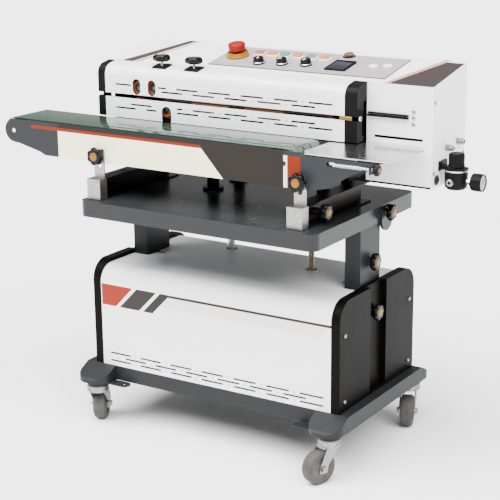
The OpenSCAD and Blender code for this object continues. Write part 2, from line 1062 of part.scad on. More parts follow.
module belt_roller(x) {
  color([0.7, 0.7, 0.72])
    union() {
      cyl_y(x, belt_front - 1, belt_back + 1, roller_z, belt_r - belt_t - gap);
      cyl_y(x, skirt_y - 1, back_out + 1, roller_z, shaft_r);
    }
}

module belt_roller_left() { belt_roller(roller_l); }
module belt_roller_right() { belt_roller(roller_r); }

module side_table() {
  color([0.8, 0.8, 0.81])
    union() {
      translate([0, 0, table_z - 1.5])
        linear_extrude(height = 1.5) {
          translate([347.5, -136])
            round_rect(209, 128, 26);
          translate([243, -160])
            square([100, 88]);
          translate([306, -160])
            square([100, 132]);
          translate([380, -64])
            round_rect(144, 72, 26);
          translate([426, -136])
            square([26, 72]);
        }
      block(250, 370, -192, -190.5, 690, table_z - 1);
      block(250, 370, -82, -80.5, 690, table_z - 1);
    }
}

// ---- clamp knobs ----

module knob_front_left() {
  color([0.1, 0.1, 0.1])
    translate([-274, -203, 650])
      rotate([90, 0, 0])
        star_grip(21, 6, 14, 6.4, 4);
}

module knob_front_right() {
  color([0.1, 0.1, 0.1])
    translate([245.5, -203, 650])
      rotate([90, 0, 0])
        star_grip(21, 6, 14, 6.4, 4);
}

module knob_rail() {
  color([0.1, 0.1, 0.1])
    translate([rail_right[0] + 20, -152, 578])
      rotate([0, 90, 0])
        star_grip(19, 22, 17, 8, 4);
}

module knob_column() {
  color([0.1, 0.1, 0.1])
    translate([col_x, 0, 440])
      rotate([0, 90, 0])
        star_grip(20, 6, 14, 3, 4);
}

module knob_panel() {
  color([0.1, 0.1, 0.1])
    translate([groove_floor, 0, 326])
      rotate([0, 90, 0])
        star_grip(19.5, 5, 12, 8, 4);
}

module knob_tray() {
  color([0.1, 0.1, 0.1])
    translate([tray_x + 6, 62, 538])
      rotate([0, 90, 0])
        star_grip(19, 6, 13, 6.5, 4);
}

module knob_table() {
  color([0.1, 0.1, 0.1])
    translate([408, skirt_y + 1.25, 692]) {
      rotate([0, 90, 0])
        star_grip(12, 5, 12, 84, 3);
      translate([-87, 0, 0])
        rotate([0, 90, 0])
          cylinder(r = 4.5, h = 9);
    }
}

base_frame();
front_cover();
rear_cover();
side_panel_right();
side_panel_left();
panel_screws();
lift_guides();
air_pump();
caster_fork_fr();
caster_fork_fl();
caster_fork_rr();
caster_fork_rl();
caster_wheel_fr();
caster_wheel_fl();
caster_wheel_rr();
caster_wheel_rl();
lift_columns();
tray();
lift_screw();
air_hose();
slide_rails();
head_chassis();
head_housing();
head_back_cover();
guard_upper();
guard_lower();
guard_caps();
control_panel();
panel_instruments();
head_fittings();
sealing_blocks();
drive_motor();
seal_bands();
band_wheel_upper_left();
band_wheel_lower_left();
band_wheel_upper_right();
band_wheel_lower_right();
press_wheel_upper();
press_wheel_lower();
pressure_knob_left();
pressure_knob_right();
estop_button();
dial_knob_1();
dial_knob_2();
dial_knob_3();
round_button();
regulator_knob();
slide_brackets();
conveyor_frame();
conveyor_belt();
belt_roller_left();
belt_roller_right();
side_table();
knob_front_left();
knob_front_right();
knob_rail();
knob_column();
knob_panel();
knob_tray();
knob_table();
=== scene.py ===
import json
import math

import bpy
import numpy as np
from mathutils import Matrix, Vector


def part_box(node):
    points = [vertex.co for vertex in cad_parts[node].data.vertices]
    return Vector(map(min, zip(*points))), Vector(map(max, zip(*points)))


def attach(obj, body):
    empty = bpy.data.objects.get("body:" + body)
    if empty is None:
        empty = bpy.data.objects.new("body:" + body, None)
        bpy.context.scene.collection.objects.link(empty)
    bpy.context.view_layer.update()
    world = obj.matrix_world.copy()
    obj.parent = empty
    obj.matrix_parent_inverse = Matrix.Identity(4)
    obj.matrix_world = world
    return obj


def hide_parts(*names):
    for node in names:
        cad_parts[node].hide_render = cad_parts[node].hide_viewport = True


bl_info = {
    "name": "Band Sealer",
    "version": (1, 0, 0),
    "blender": (4, 5, 0),
    "location": "View3D > Sidebar > Band Sealer",
    "description": "Builds the visible pieces and finishes of a continuous band sealer around its frame",
    "category": "Object",
}

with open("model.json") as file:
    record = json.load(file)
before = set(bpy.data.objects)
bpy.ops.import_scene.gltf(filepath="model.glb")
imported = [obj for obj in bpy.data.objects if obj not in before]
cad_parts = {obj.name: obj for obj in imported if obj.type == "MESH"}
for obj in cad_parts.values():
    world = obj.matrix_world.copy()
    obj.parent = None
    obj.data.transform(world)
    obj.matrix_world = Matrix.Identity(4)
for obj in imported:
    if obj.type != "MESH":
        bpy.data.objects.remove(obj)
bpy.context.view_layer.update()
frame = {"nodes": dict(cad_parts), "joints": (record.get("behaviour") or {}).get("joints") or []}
JOINTS = {j["child"]: j for j in frame["joints"]}
FINISHES = {}
VENT_STEP = 0.0854  # from one vent slot to the next
VENT_LENGTH = 0.058  # length of one full slot, darkened with painted shade
SLOT_SHADE_REACH = 0.0020  # reach of the painted shade above and below a slot row's middle
SKIN = 0.0004  # how far a printed mark reaches behind its face; the painted inside shade starts this far behind the outer face
# colour of the painted shade on the inner faces of the covers and the guard, standing in for the shade inside
# them
PAINTED_INSIDE_SHADE = (0.006, 0.006, 0.006)
CAMERA_PLACE = (1.678, -2.641, 1.298)
CAMERA_HEADING, CAMERA_PITCH, CAMERA_ROLL = 31.64, 73.88, -0.32
TILT = math.radians(11.1)
SLANT_NORMAL = np.array([0.0, -math.sin(TILT), math.cos(TILT)])
SLANT_UP = np.array([0.0, math.cos(TILT), math.sin(TILT)])
X_AXIS = np.array([1.0, 0.0, 0.0])
Y_AXIS = np.array([0.0, 1.0, 0.0])
Z_AXIS = np.array([0.0, 0.0, 1.0])


# ---------------------------------------------------------------- settings

class BS_StageSettings(bpy.types.PropertyGroup):
    floor_size: bpy.props.FloatProperty(
        name="Floor size", description="Side of the square floor", default=60.0, unit="LENGTH")
    floor_tone: bpy.props.FloatVectorProperty(
        name="Floor tone", description="Colour of the floor", default=(0.94, 0.94, 0.94), subtype="COLOR")
    key_power: bpy.props.FloatProperty(
        name="Key power", description="Strength of the broad light from the front left", default=9.5)
    fill_power: bpy.props.FloatProperty(
        name="Fill power", description="Strength of the broad light from the right", default=5.8)
    softness: bpy.props.FloatProperty(
        name="Softness", description="Angle that each light spreads over, in degrees", default=50.0)
    sky_strength: bpy.props.FloatProperty(
        name="Sky strength", description="Brightness of the surroundings", default=0.5)


class BS_PaintSettings(bpy.types.PropertyGroup):
    white: bpy.props.FloatVectorProperty(
        name="White", description="White powder coat of the covers and the head",
        default=(0.86, 0.86, 0.88), subtype="COLOR")
    dark_grey: bpy.props.FloatVectorProperty(
        name="Dark grey", description="Paint of the base, columns and tray",
        default=(0.0125, 0.0135, 0.0140), subtype="COLOR")
    panel_black: bpy.props.FloatVectorProperty(
        name="Panel black", description="Paint of the side panels", default=(0.0022, 0.0018, 0.0016),
        subtype="COLOR")
    rail_brown: bpy.props.FloatVectorProperty(
        name="Rail brown", description="Black-brown paint of the rails", default=(0.0035, 0.0027, 0.0023),
        subtype="COLOR")
    skirt_grey: bpy.props.FloatVectorProperty(
        name="Skirt grey", description="Paint of the conveyor frame", default=(0.020, 0.0225, 0.025),
        subtype="COLOR")
    print_orange: bpy.props.FloatVectorProperty(
        name="Print orange", description="Orange of the printed stripes", default=(0.21, 0.012, 0.0006),
        subtype="COLOR")
    print_brown: bpy.props.FloatVectorProperty(
        name="Print brown", description="Dark brown of the printed stripes", default=(0.015, 0.012, 0.011),
        subtype="COLOR")
    print_cream: bpy.props.FloatVectorProperty(
        name="Print cream", description="Cream of the printed panel on the skirt",
        default=(0.90, 0.86, 0.60), subtype="COLOR")


class BS_KnobSettings(bpy.types.PropertyGroup):
    lobe_depth: bpy.props.FloatProperty(
        name="Lobe depth", description="Depth of the finger grooves as a part of the radius", default=0.17)
    body: bpy.props.FloatVectorProperty(
        name="Grip colour", description="Moulded black of the grips", default=(0.0028, 0.0025, 0.0025),
        subtype="COLOR")
    amber: bpy.props.FloatVectorProperty(
        name="Cap colour", description="Amber of the caps", default=(0.20, 0.080, 0.002), subtype="COLOR")


class BS_CasterSettings(bpy.types.PropertyGroup):
    tyre: bpy.props.FloatVectorProperty(
        name="Tyre colour", description="Grey of the tyres", default=(0.045, 0.043, 0.039), subtype="COLOR")
    ball_race: bpy.props.FloatProperty(
        name="Race height", description="Height of the ball race under the plate", default=0.006,
        unit="LENGTH")


class BS_BeltSettings(bpy.types.PropertyGroup):
    green: bpy.props.FloatVectorProperty(
        name="Belt green", description="Dark green of the belt", default=(0.022, 0.041, 0.027),
        subtype="COLOR")
    edge_round: bpy.props.FloatProperty(
        name="Edge rounding", description="Radius of the belt's edges", default=0.0007, unit="LENGTH")


class BS_HeadSettings(bpy.types.PropertyGroup):
    stop_red: bpy.props.FloatVectorProperty(
        name="Stop red", description="Red of the stop button", default=(0.22, 0.0035, 0.0008),
        subtype="COLOR")
    stop_yellow: bpy.props.FloatVectorProperty(
        name="Stop yellow", description="Yellow of the stop button's base", default=(0.28, 0.12, 0.0006),
        subtype="COLOR")
    teal: bpy.props.FloatVectorProperty(
        name="Teal", description="Teal switch caps", default=(0.15, 0.26, 0.22), subtype="COLOR")
    orange: bpy.props.FloatVectorProperty(
        name="Orange", description="Orange switch caps", default=(0.62, 0.22, 0.07), subtype="COLOR")
    silicone: bpy.props.FloatVectorProperty(
        name="Silicone", description="Orange silicone of the press wheels", default=(0.22, 0.035, 0.008),
        subtype="COLOR")


# ---------------------------------------------------------------- materials

def painted_metal(name, color, roughness=0.38, peel=0.12, grain=900.0, coat=0.25, wear=0.10, shine=0.5,
    marks=(), slots=()):
    """Powder-coated or sprayed sheet: orange peel, slow tone drift, dusty roughness, flat printed marks, and
    painted shade.

    marks is a list of (label, colour, half planes); a half plane is (nx, ny, nz, d) and
    the mark covers the points where nx*x + ny*y + nz*z is above d for all of them; a mark is a print
    or painted shade. slots is a list of (label, height, first x, count, step, width) for painted shade
    round each row of vent slots, standing in for the dark seen through them: the points whose height is
    within
    2 mm of the row and whose x, counted from the first and wrapped at each step, is less than the width.
    """
    mat = bpy.data.materials.new(name + "_finish")
    FINISHES[name] = mat
    mat.use_nodes = True
    nt = mat.node_tree
    nt.nodes.clear()
    out = nt.nodes.new("ShaderNodeOutputMaterial")
    out.label = "Painted surface"
    out.location = (900, 0)
    bsdf = nt.nodes.new("ShaderNodeBsdfPrincipled")
    bsdf.label = "Paint film"
    bsdf.location = (600, 0)
    bsdf.inputs["Coat Weight"].default_value = coat
    bsdf.inputs["Coat Roughness"].default_value = 0.12
    bsdf.inputs["Specular IOR Level"].default_value = shine
    nt.links.new(bsdf.outputs["BSDF"], out.inputs["Surface"])
    coords = nt.nodes.new("ShaderNodeTexCoord")
    coords.label = "Place on the object"
    coords.location = (-1500, 0)

    tone = nt.nodes.new("NodeFrame")
    tone.label = "Tone drift of the batch"
    drift = nt.nodes.new("ShaderNodeTexNoise")
    drift.label = "Slow tone drift"
    drift.location = (-1200, 300)
    drift.parent = tone
    drift.inputs["Scale"].default_value = 4.0
    drift.inputs["Detail"].default_value = 3.0
    nt.links.new(coords.outputs["Object"], drift.inputs["Vector"])
    shade = nt.nodes.new("ShaderNodeMapRange")
    shade.label = "Drift to brightness"
    shade.location = (-1000, 300)
    shade.parent = tone
    shade.inputs["To Min"].default_value = 0.95
    shade.inputs["To Max"].default_value = 1.04
    nt.links.new(drift.outputs["Fac"], shade.inputs["Value"])
    tinted = nt.nodes.new("ShaderNodeHueSaturation")
    tinted.label = "Paint colour with drift"
    tinted.location = (-780, 300)
    tinted.parent = tone
    tinted.inputs["Color"].default_value = (*color, 1.0)
    nt.links.new(shade.outputs["Result"], tinted.inputs["Value"])
    color_out = tinted.outputs["Color"]

    film = nt.nodes.new("NodeFrame")
    film.label = "Orange peel"
    peel_noise = nt.nodes.new("ShaderNodeTexNoise")
    peel_noise.label = "Orange peel"
    peel_noise.location = (-1200, -350)
    peel_noise.parent = film
    peel_noise.inputs["Scale"].default_value = grain
    peel_noise.inputs["Detail"].default_value = 1.0
    nt.links.new(coords.outputs["Object"], peel_noise.inputs["Vector"])
    bump = nt.nodes.new("ShaderNodeBump")
    bump.label = "Peel height"
    bump.location = (-960, -350)
    bump.parent = film
    bump.inputs["Strength"].default_value = peel
    bump.inputs["Distance"].default_value = 0.0003
    nt.links.new(peel_noise.outputs["Fac"], bump.inputs["Height"])
    nt.links.new(bump.outputs["Normal"], bsdf.inputs["Normal"])

    dust = nt.nodes.new("NodeFrame")
    dust.label = "Handling marks in the gloss"
    smear = nt.nodes.new("ShaderNodeTexNoise")
    smear.label = "Wiped smears"
    smear.location = (-1200, -700)
    smear.parent = dust
    smear.inputs["Scale"].default_value = 14.0
    smear.inputs["Detail"].default_value = 5.0
    smear.inputs["Distortion"].default_value = 0.6
    nt.links.new(coords.outputs["Object"], smear.inputs["Vector"])
    gloss = nt.nodes.new("ShaderNodeMapRange")
    gloss.label = "Smears to roughness"
    gloss.location = (-960, -700)
    gloss.parent = dust
    gloss.inputs["To Min"].default_value = roughness - wear * 0.5
    gloss.inputs["To Max"].default_value = roughness + wear * 0.5
    nt.links.new(smear.outputs["Fac"], gloss.inputs["Value"])
    rough_out = gloss.outputs["Result"]

    column = 0
    for label, mark_color, planes in marks:
        mask = None
        group = nt.nodes.new("NodeFrame")
        group.label = label
        for nx, ny, nz, d in planes:
            side = nt.nodes.new("ShaderNodeVectorMath")
            side.operation = "DOT_PRODUCT"
            side.label = label + " edge"
            side.location = (-700 + 30 * column, 900 + 160 * column)
            side.parent = group
            side.inputs[1].default_value = (nx, ny, nz)
            nt.links.new(coords.outputs["Object"], side.inputs[0])
            above = nt.nodes.new("ShaderNodeMath")
            above.operation = "GREATER_THAN"
            above.label = label + " inside"
            above.location = (-500 + 30 * column, 900 + 160 * column)
            above.parent = group
            above.inputs[1].default_value = d
            nt.links.new(side.outputs["Value"], above.inputs[0])
            if mask is None:
                mask = above.outputs["Value"]
            else:
                both = nt.nodes.new("ShaderNodeMath")
                both.operation = "MULTIPLY"
                both.label = label + " area"
                both.location = (-300 + 30 * column, 900 + 160 * column)
                both.parent = group
                nt.links.new(mask, both.inputs[0])
                nt.links.new(above.outputs["Value"], both.inputs[1])
                mask = both.outputs["Value"]
            column += 1
        mix = nt.nodes.new("ShaderNodeMix")
        mix.data_type = "RGBA"
        mix.label = label + " ink"
        mix.location = (-60 + 30 * column, 600)
        mix.parent = group
        mix.inputs["B"].default_value = (*mark_color, 1.0)
        nt.links.new(mask, mix.inputs["Factor"])
        nt.links.new(color_out, mix.inputs["A"])
        color_out = mix.outputs["Result"]
    # painted shade round the vent slots: the dark seen through each slot is painted onto the sheet round it
    if slots:
        parts = nt.nodes.new("ShaderNodeSeparateXYZ")
        parts.label = "Across and up"
        parts.location = (-1200, -1100)
        nt.links.new(coords.outputs["Object"], parts.inputs["Vector"])
    for index, (label, height, first, count, step, width) in enumerate(slots):
        group = nt.nodes.new("NodeFrame")
        group.label = label
        level = -1100 - 260 * index
        moved = nt.nodes.new("ShaderNodeMath")
        moved.operation = "SUBTRACT"
        moved.label = "From the first slot"
        moved.location = (-980, level)
        moved.parent = group
        moved.inputs[1].default_value = first
        nt.links.new(parts.outputs["X"], moved.inputs[0])
        wrapped = nt.nodes.new("ShaderNodeMath")
        wrapped.operation = "FLOORED_MODULO"
        wrapped.label = "Place in the step"
        wrapped.location = (-800, level)
        wrapped.parent = group
        wrapped.inputs[1].default_value = step
        nt.links.new(moved.outputs["Value"], wrapped.inputs[0])
        along = nt.nodes.new("ShaderNodeMath")
        along.operation = "LESS_THAN"
        along.label = "In a slot's length"
        along.location = (-620, level)
        along.parent = group
        along.inputs[1].default_value = width
        nt.links.new(wrapped.outputs["Value"], along.inputs[0])
        middle = nt.nodes.new("ShaderNodeMath")
        middle.operation = "COMPARE"
        middle.label = "Within the row's length"
        middle.location = (-620, level - 90)
        middle.parent = group
        reach = ((count - 1) * step + width) / 2
        middle.inputs[1].default_value = reach
        middle.inputs[2].default_value = reach
        nt.links.new(moved.outputs["Value"], middle.inputs[0])
        level_mask = nt.nodes.new("ShaderNodeMath")
        level_mask.operation = "COMPARE"
        level_mask.label = "Near the row's height"
        level_mask.location = (-620, level - 180)
        level_mask.parent = group
        level_mask.inputs[1].default_value = height
        level_mask.inputs[2].default_value = SLOT_SHADE_REACH
        nt.links.new(parts.outputs["Z"], level_mask.inputs[0])
        in_row = nt.nodes.new("ShaderNodeMath")
        in_row.operation = "MULTIPLY"
        in_row.label = "In the row"
        in_row.location = (-440, level)
        in_row.parent = group
        nt.links.new(along.outputs["Value"], in_row.inputs[0])
        nt.links.new(middle.outputs["Value"], in_row.inputs[1])
        rim = nt.nodes.new("ShaderNodeMath")
        rim.operation = "MULTIPLY"
        rim.label = "On the rim"
        rim.location = (-260, level)
        rim.parent = group
        nt.links.new(in_row.outputs["Value"], rim.inputs[0])
        nt.links.new(level_mask.outputs["Value"], rim.inputs[1])
        mix = nt.nodes.new("ShaderNodeMix")
        mix.data_type = "RGBA"
        mix.label = label + " shade"
        mix.location = (-80, level)
        mix.parent = group
        mix.inputs["B"].default_value = (0.004, 0.004, 0.004, 1.0)
        nt.links.new(rim.outputs["Value"], mix.inputs["Factor"])
        nt.links.new(color_out, mix.inputs["A"])
        color_out = mix.outputs["Result"]
    nt.links.new(color_out, bsdf.inputs["Base Color"])
    nt.links.new(rough_out, bsdf.inputs["Roughness"])
    return mat


def machined_metal(name, color, roughness=0.28, stretch=(1.0, 1.0, 60.0), scale=90.0, depth=0.25,
    cloud=0.10, metallic=1.0, painted_behind=None):
    """Ground, turned or zinc-plated metal: tool lines drawn out along one axis, and cloudy plating.

    Where painted_behind is given, the part with a larger y is blackened.
    """
    mat = bpy.data.materials.new(name + "_finish")
    FINISHES[name] = mat
    mat.use_nodes = True
    nt = mat.node_tree
    nt.nodes.clear()
    out = nt.nodes.new("ShaderNodeOutputMaterial")
    out.label = "Metal surface"
    out.location = (800, 0)
    bsdf = nt.nodes.new("ShaderNodeBsdfPrincipled")
    bsdf.label = "Metal"
    bsdf.location = (500, 0)
    bsdf.inputs["Metallic"].default_value = metallic
    nt.links.new(bsdf.outputs["BSDF"], out.inputs["Surface"])
    coords = nt.nodes.new("ShaderNodeTexCoord")
    coords.label = "Place on the object"
    coords.location = (-1300, 0)

    lines = nt.nodes.new("NodeFrame")
    lines.label = "Tool lines"
    draw = nt.nodes.new("ShaderNodeMapping")
    draw.label = "Drawn along the work"
    draw.location = (-1050, -250)
    draw.parent = lines
    draw.inputs["Scale"].default_value = stretch
    nt.links.new(coords.outputs["Object"], draw.inputs["Vector"])
    tool = nt.nodes.new("ShaderNodeTexNoise")
    tool.label = "Tool lines"
    tool.location = (-820, -250)
    tool.parent = lines
    tool.inputs["Scale"].default_value = scale
    tool.inputs["Detail"].default_value = 4.0
    nt.links.new(draw.outputs["Vector"], tool.inputs["Vector"])
    bump = nt.nodes.new("ShaderNodeBump")
    bump.label = "Line depth"
    bump.location = (-560, -350)
    bump.parent = lines
    bump.inputs["Strength"].default_value = depth
    bump.inputs["Distance"].default_value = 0.0001
    nt.links.new(tool.outputs["Fac"], bump.inputs["Height"])
    nt.links.new(bump.outputs["Normal"], bsdf.inputs["Normal"])
    rough = nt.nodes.new("ShaderNodeMapRange")
    rough.label = "Lines to roughness"
    rough.location = (-560, -120)
    rough.parent = lines
    rough.inputs["To Min"].default_value = roughness * 0.75
    rough.inputs["To Max"].default_value = roughness * 1.35
    nt.links.new(tool.outputs["Fac"], rough.inputs["Value"])
    nt.links.new(rough.outputs["Result"], bsdf.inputs["Roughness"])

    plating = nt.nodes.new("NodeFrame")
    plating.label = "Cloudy plating"
    patches = nt.nodes.new("ShaderNodeTexVoronoi")
    patches.label = "Plating patches"
    patches.location = (-820, 300)
    patches.parent = plating
    patches.inputs["Scale"].default_value = 140.0
    nt.links.new(coords.outputs["Object"], patches.inputs["Vector"])
    haze = nt.nodes.new("ShaderNodeTexNoise")
    haze.label = "Slow haze"
    haze.location = (-820, 560)
    haze.parent = plating
    haze.inputs["Scale"].default_value = 18.0
    nt.links.new(coords.outputs["Object"], haze.inputs["Vector"])
    add = nt.nodes.new("ShaderNodeMath")
    add.operation = "ADD"
    add.label = "Patches and haze"
    add.location = (-560, 420)
    add.parent = plating
    nt.links.new(patches.outputs["Distance"], add.inputs[0])
    nt.links.new(haze.outputs["Fac"], add.inputs[1])
    bright = nt.nodes.new("ShaderNodeMapRange")
    bright.label = "Haze to brightness"
    bright.location = (-340, 420)
    bright.parent = plating
    bright.inputs["From Max"].default_value = 1.6
    bright.inputs["To Min"].default_value = 1.0 + cloud
    bright.inputs["To Max"].default_value = 1.0 - cloud
    nt.links.new(add.outputs["Value"], bright.inputs["Value"])
    tinted = nt.nodes.new("ShaderNodeHueSaturation")
    tinted.label = "Metal colour"
    tinted.location = (-100, 320)
    tinted.parent = plating
    tinted.inputs["Color"].default_value = (*color, 1.0)
    nt.links.new(bright.outputs["Result"], tinted.inputs["Value"])
    color_out = tinted.outputs["Color"]
    if painted_behind is not None:
        group = nt.nodes.new("NodeFrame")
        group.label = "Blackened arms"
        parts = nt.nodes.new("ShaderNodeSeparateXYZ")
        parts.label = "Depth"
        parts.location = (-560, 800)
        parts.parent = group
        nt.links.new(coords.outputs["Object"], parts.inputs["Vector"])
        behind = nt.nodes.new("ShaderNodeMath")
        behind.operation = "GREATER_THAN"
        behind.label = "Behind the blocks"
        behind.location = (-340, 800)
        behind.parent = group
        behind.inputs[1].default_value = painted_behind
        nt.links.new(parts.outputs["Y"], behind.inputs[0])
        mix = nt.nodes.new("ShaderNodeMix")
        mix.data_type = "RGBA"
        mix.label = "Blackening"
        mix.location = (80, 600)
        mix.parent = group
        mix.inputs["B"].default_value = (0.012, 0.010, 0.009, 1.0)
        nt.links.new(behind.outputs["Value"], mix.inputs["Factor"])
        nt.links.new(color_out, mix.inputs["A"])
        color_out = mix.outputs["Result"]
    nt.links.new(color_out, bsdf.inputs["Base Color"])
    return mat


def moulded_plastic(name, color, roughness=0.3, texture=0.10, scale=1500.0, coat=0.0, glow=0.0, through=0.0,
    shine=0.35):
    """Moulded plastic: fine spark-eroded grain, faint flow marks, and polish that varies with the flow marks.
    """
    mat = bpy.data.materials.new(name + "_finish")
    FINISHES[name] = mat
    mat.use_nodes = True
    nt = mat.node_tree
    nt.nodes.clear()
    out = nt.nodes.new("ShaderNodeOutputMaterial")
    out.label = "Moulded surface"
    out.location = (800, 0)
    bsdf = nt.nodes.new("ShaderNodeBsdfPrincipled")
    bsdf.label = "Plastic"
    bsdf.location = (500, 0)
    bsdf.inputs["Coat Weight"].default_value = coat
    bsdf.inputs["Coat Roughness"].default_value = 0.06
    bsdf.inputs["Specular IOR Level"].default_value = shine
    bsdf.inputs["Subsurface Weight"].default_value = through
    bsdf.inputs["Subsurface Scale"].default_value = 0.003
    bsdf.inputs["Emission Color"].default_value = (*color, 1.0)
    bsdf.inputs["Emission Strength"].default_value = glow
    nt.links.new(bsdf.outputs["BSDF"], out.inputs["Surface"])
    coords = nt.nodes.new("ShaderNodeTexCoord")
    coords.label = "Place on the object"
    coords.location = (-1200, 0)

    skin = nt.nodes.new("NodeFrame")
    skin.label = "Moulded skin"
    grain = nt.nodes.new("ShaderNodeTexNoise")
    grain.label = "Spark grain"
    grain.location = (-900, -300)
    grain.parent = skin
    grain.inputs["Scale"].default_value = scale
    nt.links.new(coords.outputs["Object"], grain.inputs["Vector"])
    bump = nt.nodes.new("ShaderNodeBump")
    bump.label = "Grain depth"
    bump.location = (-640, -300)
    bump.parent = skin
    bump.inputs["Strength"].default_value = texture
    bump.inputs["Distance"].default_value = 0.0002
    nt.links.new(grain.outputs["Fac"], bump.inputs["Height"])
    nt.links.new(bump.outputs["Normal"], bsdf.inputs["Normal"])

    flow = nt.nodes.new("NodeFrame")
    flow.label = "Flow and polish"
    swirl = nt.nodes.new("ShaderNodeTexNoise")
    swirl.label = "Flow marks"
    swirl.location = (-900, 250)
    swirl.parent = flow
    swirl.inputs["Scale"].default_value = 45.0
    swirl.inputs["Detail"].default_value = 3.0
    swirl.inputs["Distortion"].default_value = 1.2
    nt.links.new(coords.outputs["Object"], swirl.inputs["Vector"])
    tone = nt.nodes.new("ShaderNodeMapRange")
    tone.label = "Flow to brightness"
    tone.location = (-640, 250)
    tone.parent = flow
    tone.inputs["To Min"].default_value = 0.88
    tone.inputs["To Max"].default_value = 1.12
    nt.links.new(swirl.outputs["Fac"], tone.inputs["Value"])
    tinted = nt.nodes.new("ShaderNodeHueSaturation")
    tinted.label = "Plastic colour"
    tinted.location = (-400, 250)
    tinted.parent = flow
    tinted.inputs["Color"].default_value = (*color, 1.0)
    nt.links.new(tone.outputs["Result"], tinted.inputs["Value"])
    nt.links.new(tinted.outputs["Color"], bsdf.inputs["Base Color"])
    polish = nt.nodes.new("ShaderNodeMapRange")
    polish.label = "Flow to roughness"
    polish.location = (-640, 0)
    polish.parent = flow
    polish.inputs["To Min"].default_value = roughness * 0.8
    polish.inputs["To Max"].default_value = roughness * 1.25
    nt.links.new(swirl.outputs["Fac"], polish.inputs["Value"])
    nt.links.new(polish.outputs["Result"], bsdf.inputs["Roughness"])
    return mat


def rubber(name, color, roughness=0.6, pores=0.25, scale=700.0, dust=0.25):
    """Rubber or silicone: fine pores and pale dust that gathers in broad patches."""
    mat = bpy.data.materials.new(name + "_finish")
    FINISHES[name] = mat
    mat.use_nodes = True
    nt = mat.node_tree
    nt.nodes.clear()
    out = nt.nodes.new("ShaderNodeOutputMaterial")
    out.label = "Rubber surface"
    out.location = (800, 0)
    bsdf = nt.nodes.new("ShaderNodeBsdfPrincipled")
    bsdf.label = "Rubber"
    bsdf.location = (500, 0)
    bsdf.inputs["Specular IOR Level"].default_value = 0.2
    bsdf.inputs["Roughness"].default_value = roughness
    nt.links.new(bsdf.outputs["BSDF"], out.inputs["Surface"])
    coords = nt.nodes.new("ShaderNodeTexCoord")
    coords.label = "Place on the object"
    coords.location = (-1200, 0)
    skin = nt.nodes.new("NodeFrame")
    skin.label = "Pores"
    holes = nt.nodes.new("ShaderNodeTexVoronoi")
    holes.label = "Pores"
    holes.location = (-900, -300)
    holes.parent = skin
    holes.inputs["Scale"].default_value = scale
    nt.links.new(coords.outputs["Object"], holes.inputs["Vector"])
    bump = nt.nodes.new("ShaderNodeBump")
    bump.label = "Pore depth"
    bump.location = (-640, -300)
    bump.parent = skin
    bump.inputs["Strength"].default_value = pores
    bump.inputs["Distance"].default_value = 0.0003
    nt.links.new(holes.outputs["Distance"], bump.inputs["Height"])
    nt.links.new(bump.outputs["Normal"], bsdf.inputs["Normal"])
    film = nt.nodes.new("NodeFrame")
    film.label = "Dust"
    patch = nt.nodes.new("ShaderNodeTexNoise")
    patch.label = "Dust patches"
    patch.location = (-900, 250)
    patch.parent = film
    patch.inputs["Scale"].default_value = 60.0
    patch.inputs["Detail"].default_value = 6.0
    nt.links.new(coords.outputs["Object"], patch.inputs["Vector"])
    amount = nt.nodes.new("ShaderNodeMapRange")
    amount.label = "Amount of dust"
    amount.location = (-640, 250)
    amount.parent = film
    amount.inputs["From Min"].default_value = 0.4
    amount.inputs["From Max"].default_value = 0.8
    amount.inputs["To Max"].default_value = dust
    nt.links.new(patch.outputs["Fac"], amount.inputs["Value"])
    mix = nt.nodes.new("ShaderNodeMix")
    mix.data_type = "RGBA"
    mix.label = "Dust on rubber"
    mix.location = (-380, 250)
    mix.parent = film
    mix.inputs["A"].default_value = (*color, 1.0)
    mix.inputs["B"].default_value = (0.16, 0.15, 0.14, 1.0)
    nt.links.new(amount.outputs["Result"], mix.inputs["Factor"])
    nt.links.new(mix.outputs["Result"], bsdf.inputs["Base Color"])
    return mat


